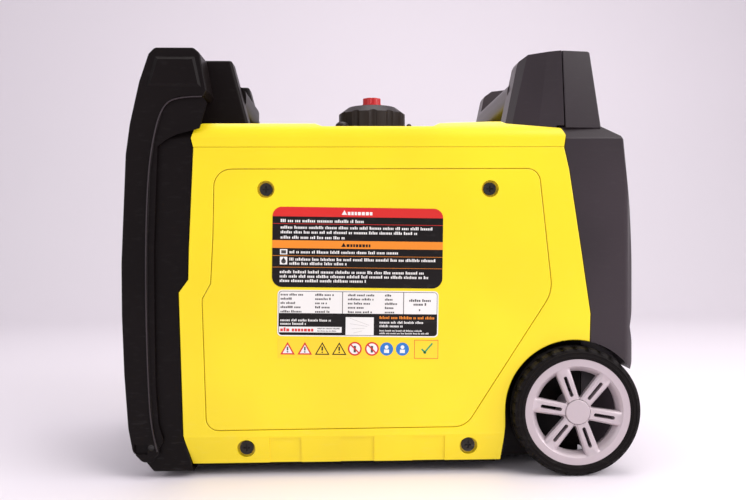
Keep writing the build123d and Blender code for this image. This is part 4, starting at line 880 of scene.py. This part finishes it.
class GENERATOR_OT_stage(bpy.types.Operator):
    """Lay the floor and backdrop, and set the lights and the camera"""

    bl_idname = "generator.stage"
    bl_label = "Stage"

    def execute(self, context):
        setup = context.scene.generator_stage
        self.floor(setup)
        powers = {"key": setup.key_power, "fill": setup.fill_power, "top": setup.top_power,
                  "edge": setup.edge_power}
        for name, (place, size, colour) in LIGHTS.items():
            self.light(f"{name}_light", place, size, powers[name], colour)
        world = bpy.data.worlds.new("studio_air")
        world.use_nodes = True
        background = world.node_tree.nodes["Background"]
        background.inputs["Color"].default_value = AIR_COLOUR
        background.inputs["Strength"].default_value = AIR_STRENGTH
        context.scene.world = world
        context.scene.view_settings.view_transform = "Standard"
        self.camera(context, setup)
        return {"FINISHED"}

    def floor(self, setup):
        """A floor that bends up into a backdrop."""
        half_width, near, bend, radius, top = 5.0, -4.0, 1.6, 1.0, 4.0
        bm = bmesh.new()
        first = bm.verts.new((-half_width, near, 0))
        second = bm.verts.new((-half_width, bend, 0))
        bm.edges.new((first, second))
        made = bmesh.ops.spin(bm, geom=[second], cent=(-half_width, bend, radius), axis=(1, 0, 0),
                              angle=QUARTER_TURN, steps=16)
        last = next(v for v in made["geom_last"] if isinstance(v, bmesh.types.BMVert))
        bm.edges.new((last, bm.verts.new((-half_width, last.co.y, top))))
        made = bmesh.ops.extrude_edge_only(bm, edges=list(bm.edges))
        bmesh.ops.translate(bm, verts=points_of(made), vec=(2 * half_width, 0, 0))
        closed(bm)
        material = bpy.data.materials.new("studio_floor")
        material.use_nodes = True
        tree = material.node_tree
        shader = tree.nodes["Principled BSDF"]
        colour = tuple(setup.floor)
        shaded = tuple(FLOOR_SHADE * c for c in colour)
        tint = blended(tree, placed(tree, colour_drift, Scale=FLOOR_PATCHES), shaded, colour)
        tree.links.new(tint, shader.inputs["Base Color"])
        shader.inputs["Roughness"].default_value = FLOOR_ROUGHNESS
        floor = piece_from(bm, "studio_floor", [material], None)

    def light(self, name, place, size, power, colour):
        """A round soft light aimed at the middle of the generator."""
        data = bpy.data.lights.new(name, "AREA")
        data.shape = "DISK"
        data.size, data.energy, data.color = size, power, colour
        lamp = bpy.data.objects.new(name, data)
        bpy.context.scene.collection.objects.link(lamp)
        lamp.location = place
        lamp.rotation_euler = (Vector(LIGHT_AIM) - Vector(place)).to_track_quat("-Z", "Y").to_euler()

    def camera(self, context, setup):
        """The camera in its place."""
        data = bpy.data.cameras.new("camera")
        data.lens = setup.lens
        data.sensor_width = SENSOR_WIDTH
        camera = bpy.data.objects.new("camera", data)
        context.scene.collection.objects.link(camera)
        heading = Matrix.Rotation(math.radians(CAMERA_HEADING), 4, "Z")
        tilt = Matrix.Rotation(math.radians(CAMERA_TILT), 4, "X")
        roll = Matrix.Rotation(math.radians(CAMERA_ROLL), 4, "Z")
        camera.matrix_world = Matrix.Translation(CAMERA_PLACE) @ heading @ tilt @ roll
        context.scene.camera = camera


# ---------------------------------------------------------------- panel and registering
STEPS = [GENERATOR_OT_housing, GENERATOR_OT_machinery, GENERATOR_OT_wheel_finish, GENERATOR_OT_tyres,
         GENERATOR_OT_arm_trim, GENERATOR_OT_printed_plates, GENERATOR_OT_panel_prints, GENERATOR_OT_stage]


class GENERATOR_PT_steps(bpy.types.Panel):
    """Lists the steps that finish the generator"""

    bl_idname = "GENERATOR_PT_steps"
    bl_label = "Portable Generator"
    bl_space_type = "VIEW_3D"
    bl_region_type = "UI"
    bl_category = "Generator"

    def draw(self, context):
        for step in STEPS:
            self.layout.operator(step.bl_idname)


SETTINGS = {"generator_housing": HousingFinish, "generator_wheels": WheelSizes,
            "generator_plates": PlateSizes, "generator_stage": StageSetup}
CLASSES = [*SETTINGS.values(), *STEPS, GENERATOR_PT_steps]


def register():
    for cls in CLASSES:
        bpy.utils.register_class(cls)
    for name, cls in SETTINGS.items():
        setattr(bpy.types.Scene, name, bpy.props.PointerProperty(type=cls))


def unregister():
    for name in SETTINGS:
        delattr(bpy.types.Scene, name)
    for cls in reversed(CLASSES):
        bpy.utils.unregister_class(cls)


def main():
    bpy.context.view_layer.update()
    register()
    bpy.ops.generator.housing()
    bpy.ops.generator.machinery()
    bpy.ops.generator.wheel_finish()
    bpy.ops.generator.tyres()
    bpy.ops.generator.arm_trim()
    bpy.ops.generator.printed_plates()
    bpy.ops.generator.panel_prints()
    bpy.ops.generator.stage()


if __name__ == "__main__":
    main()
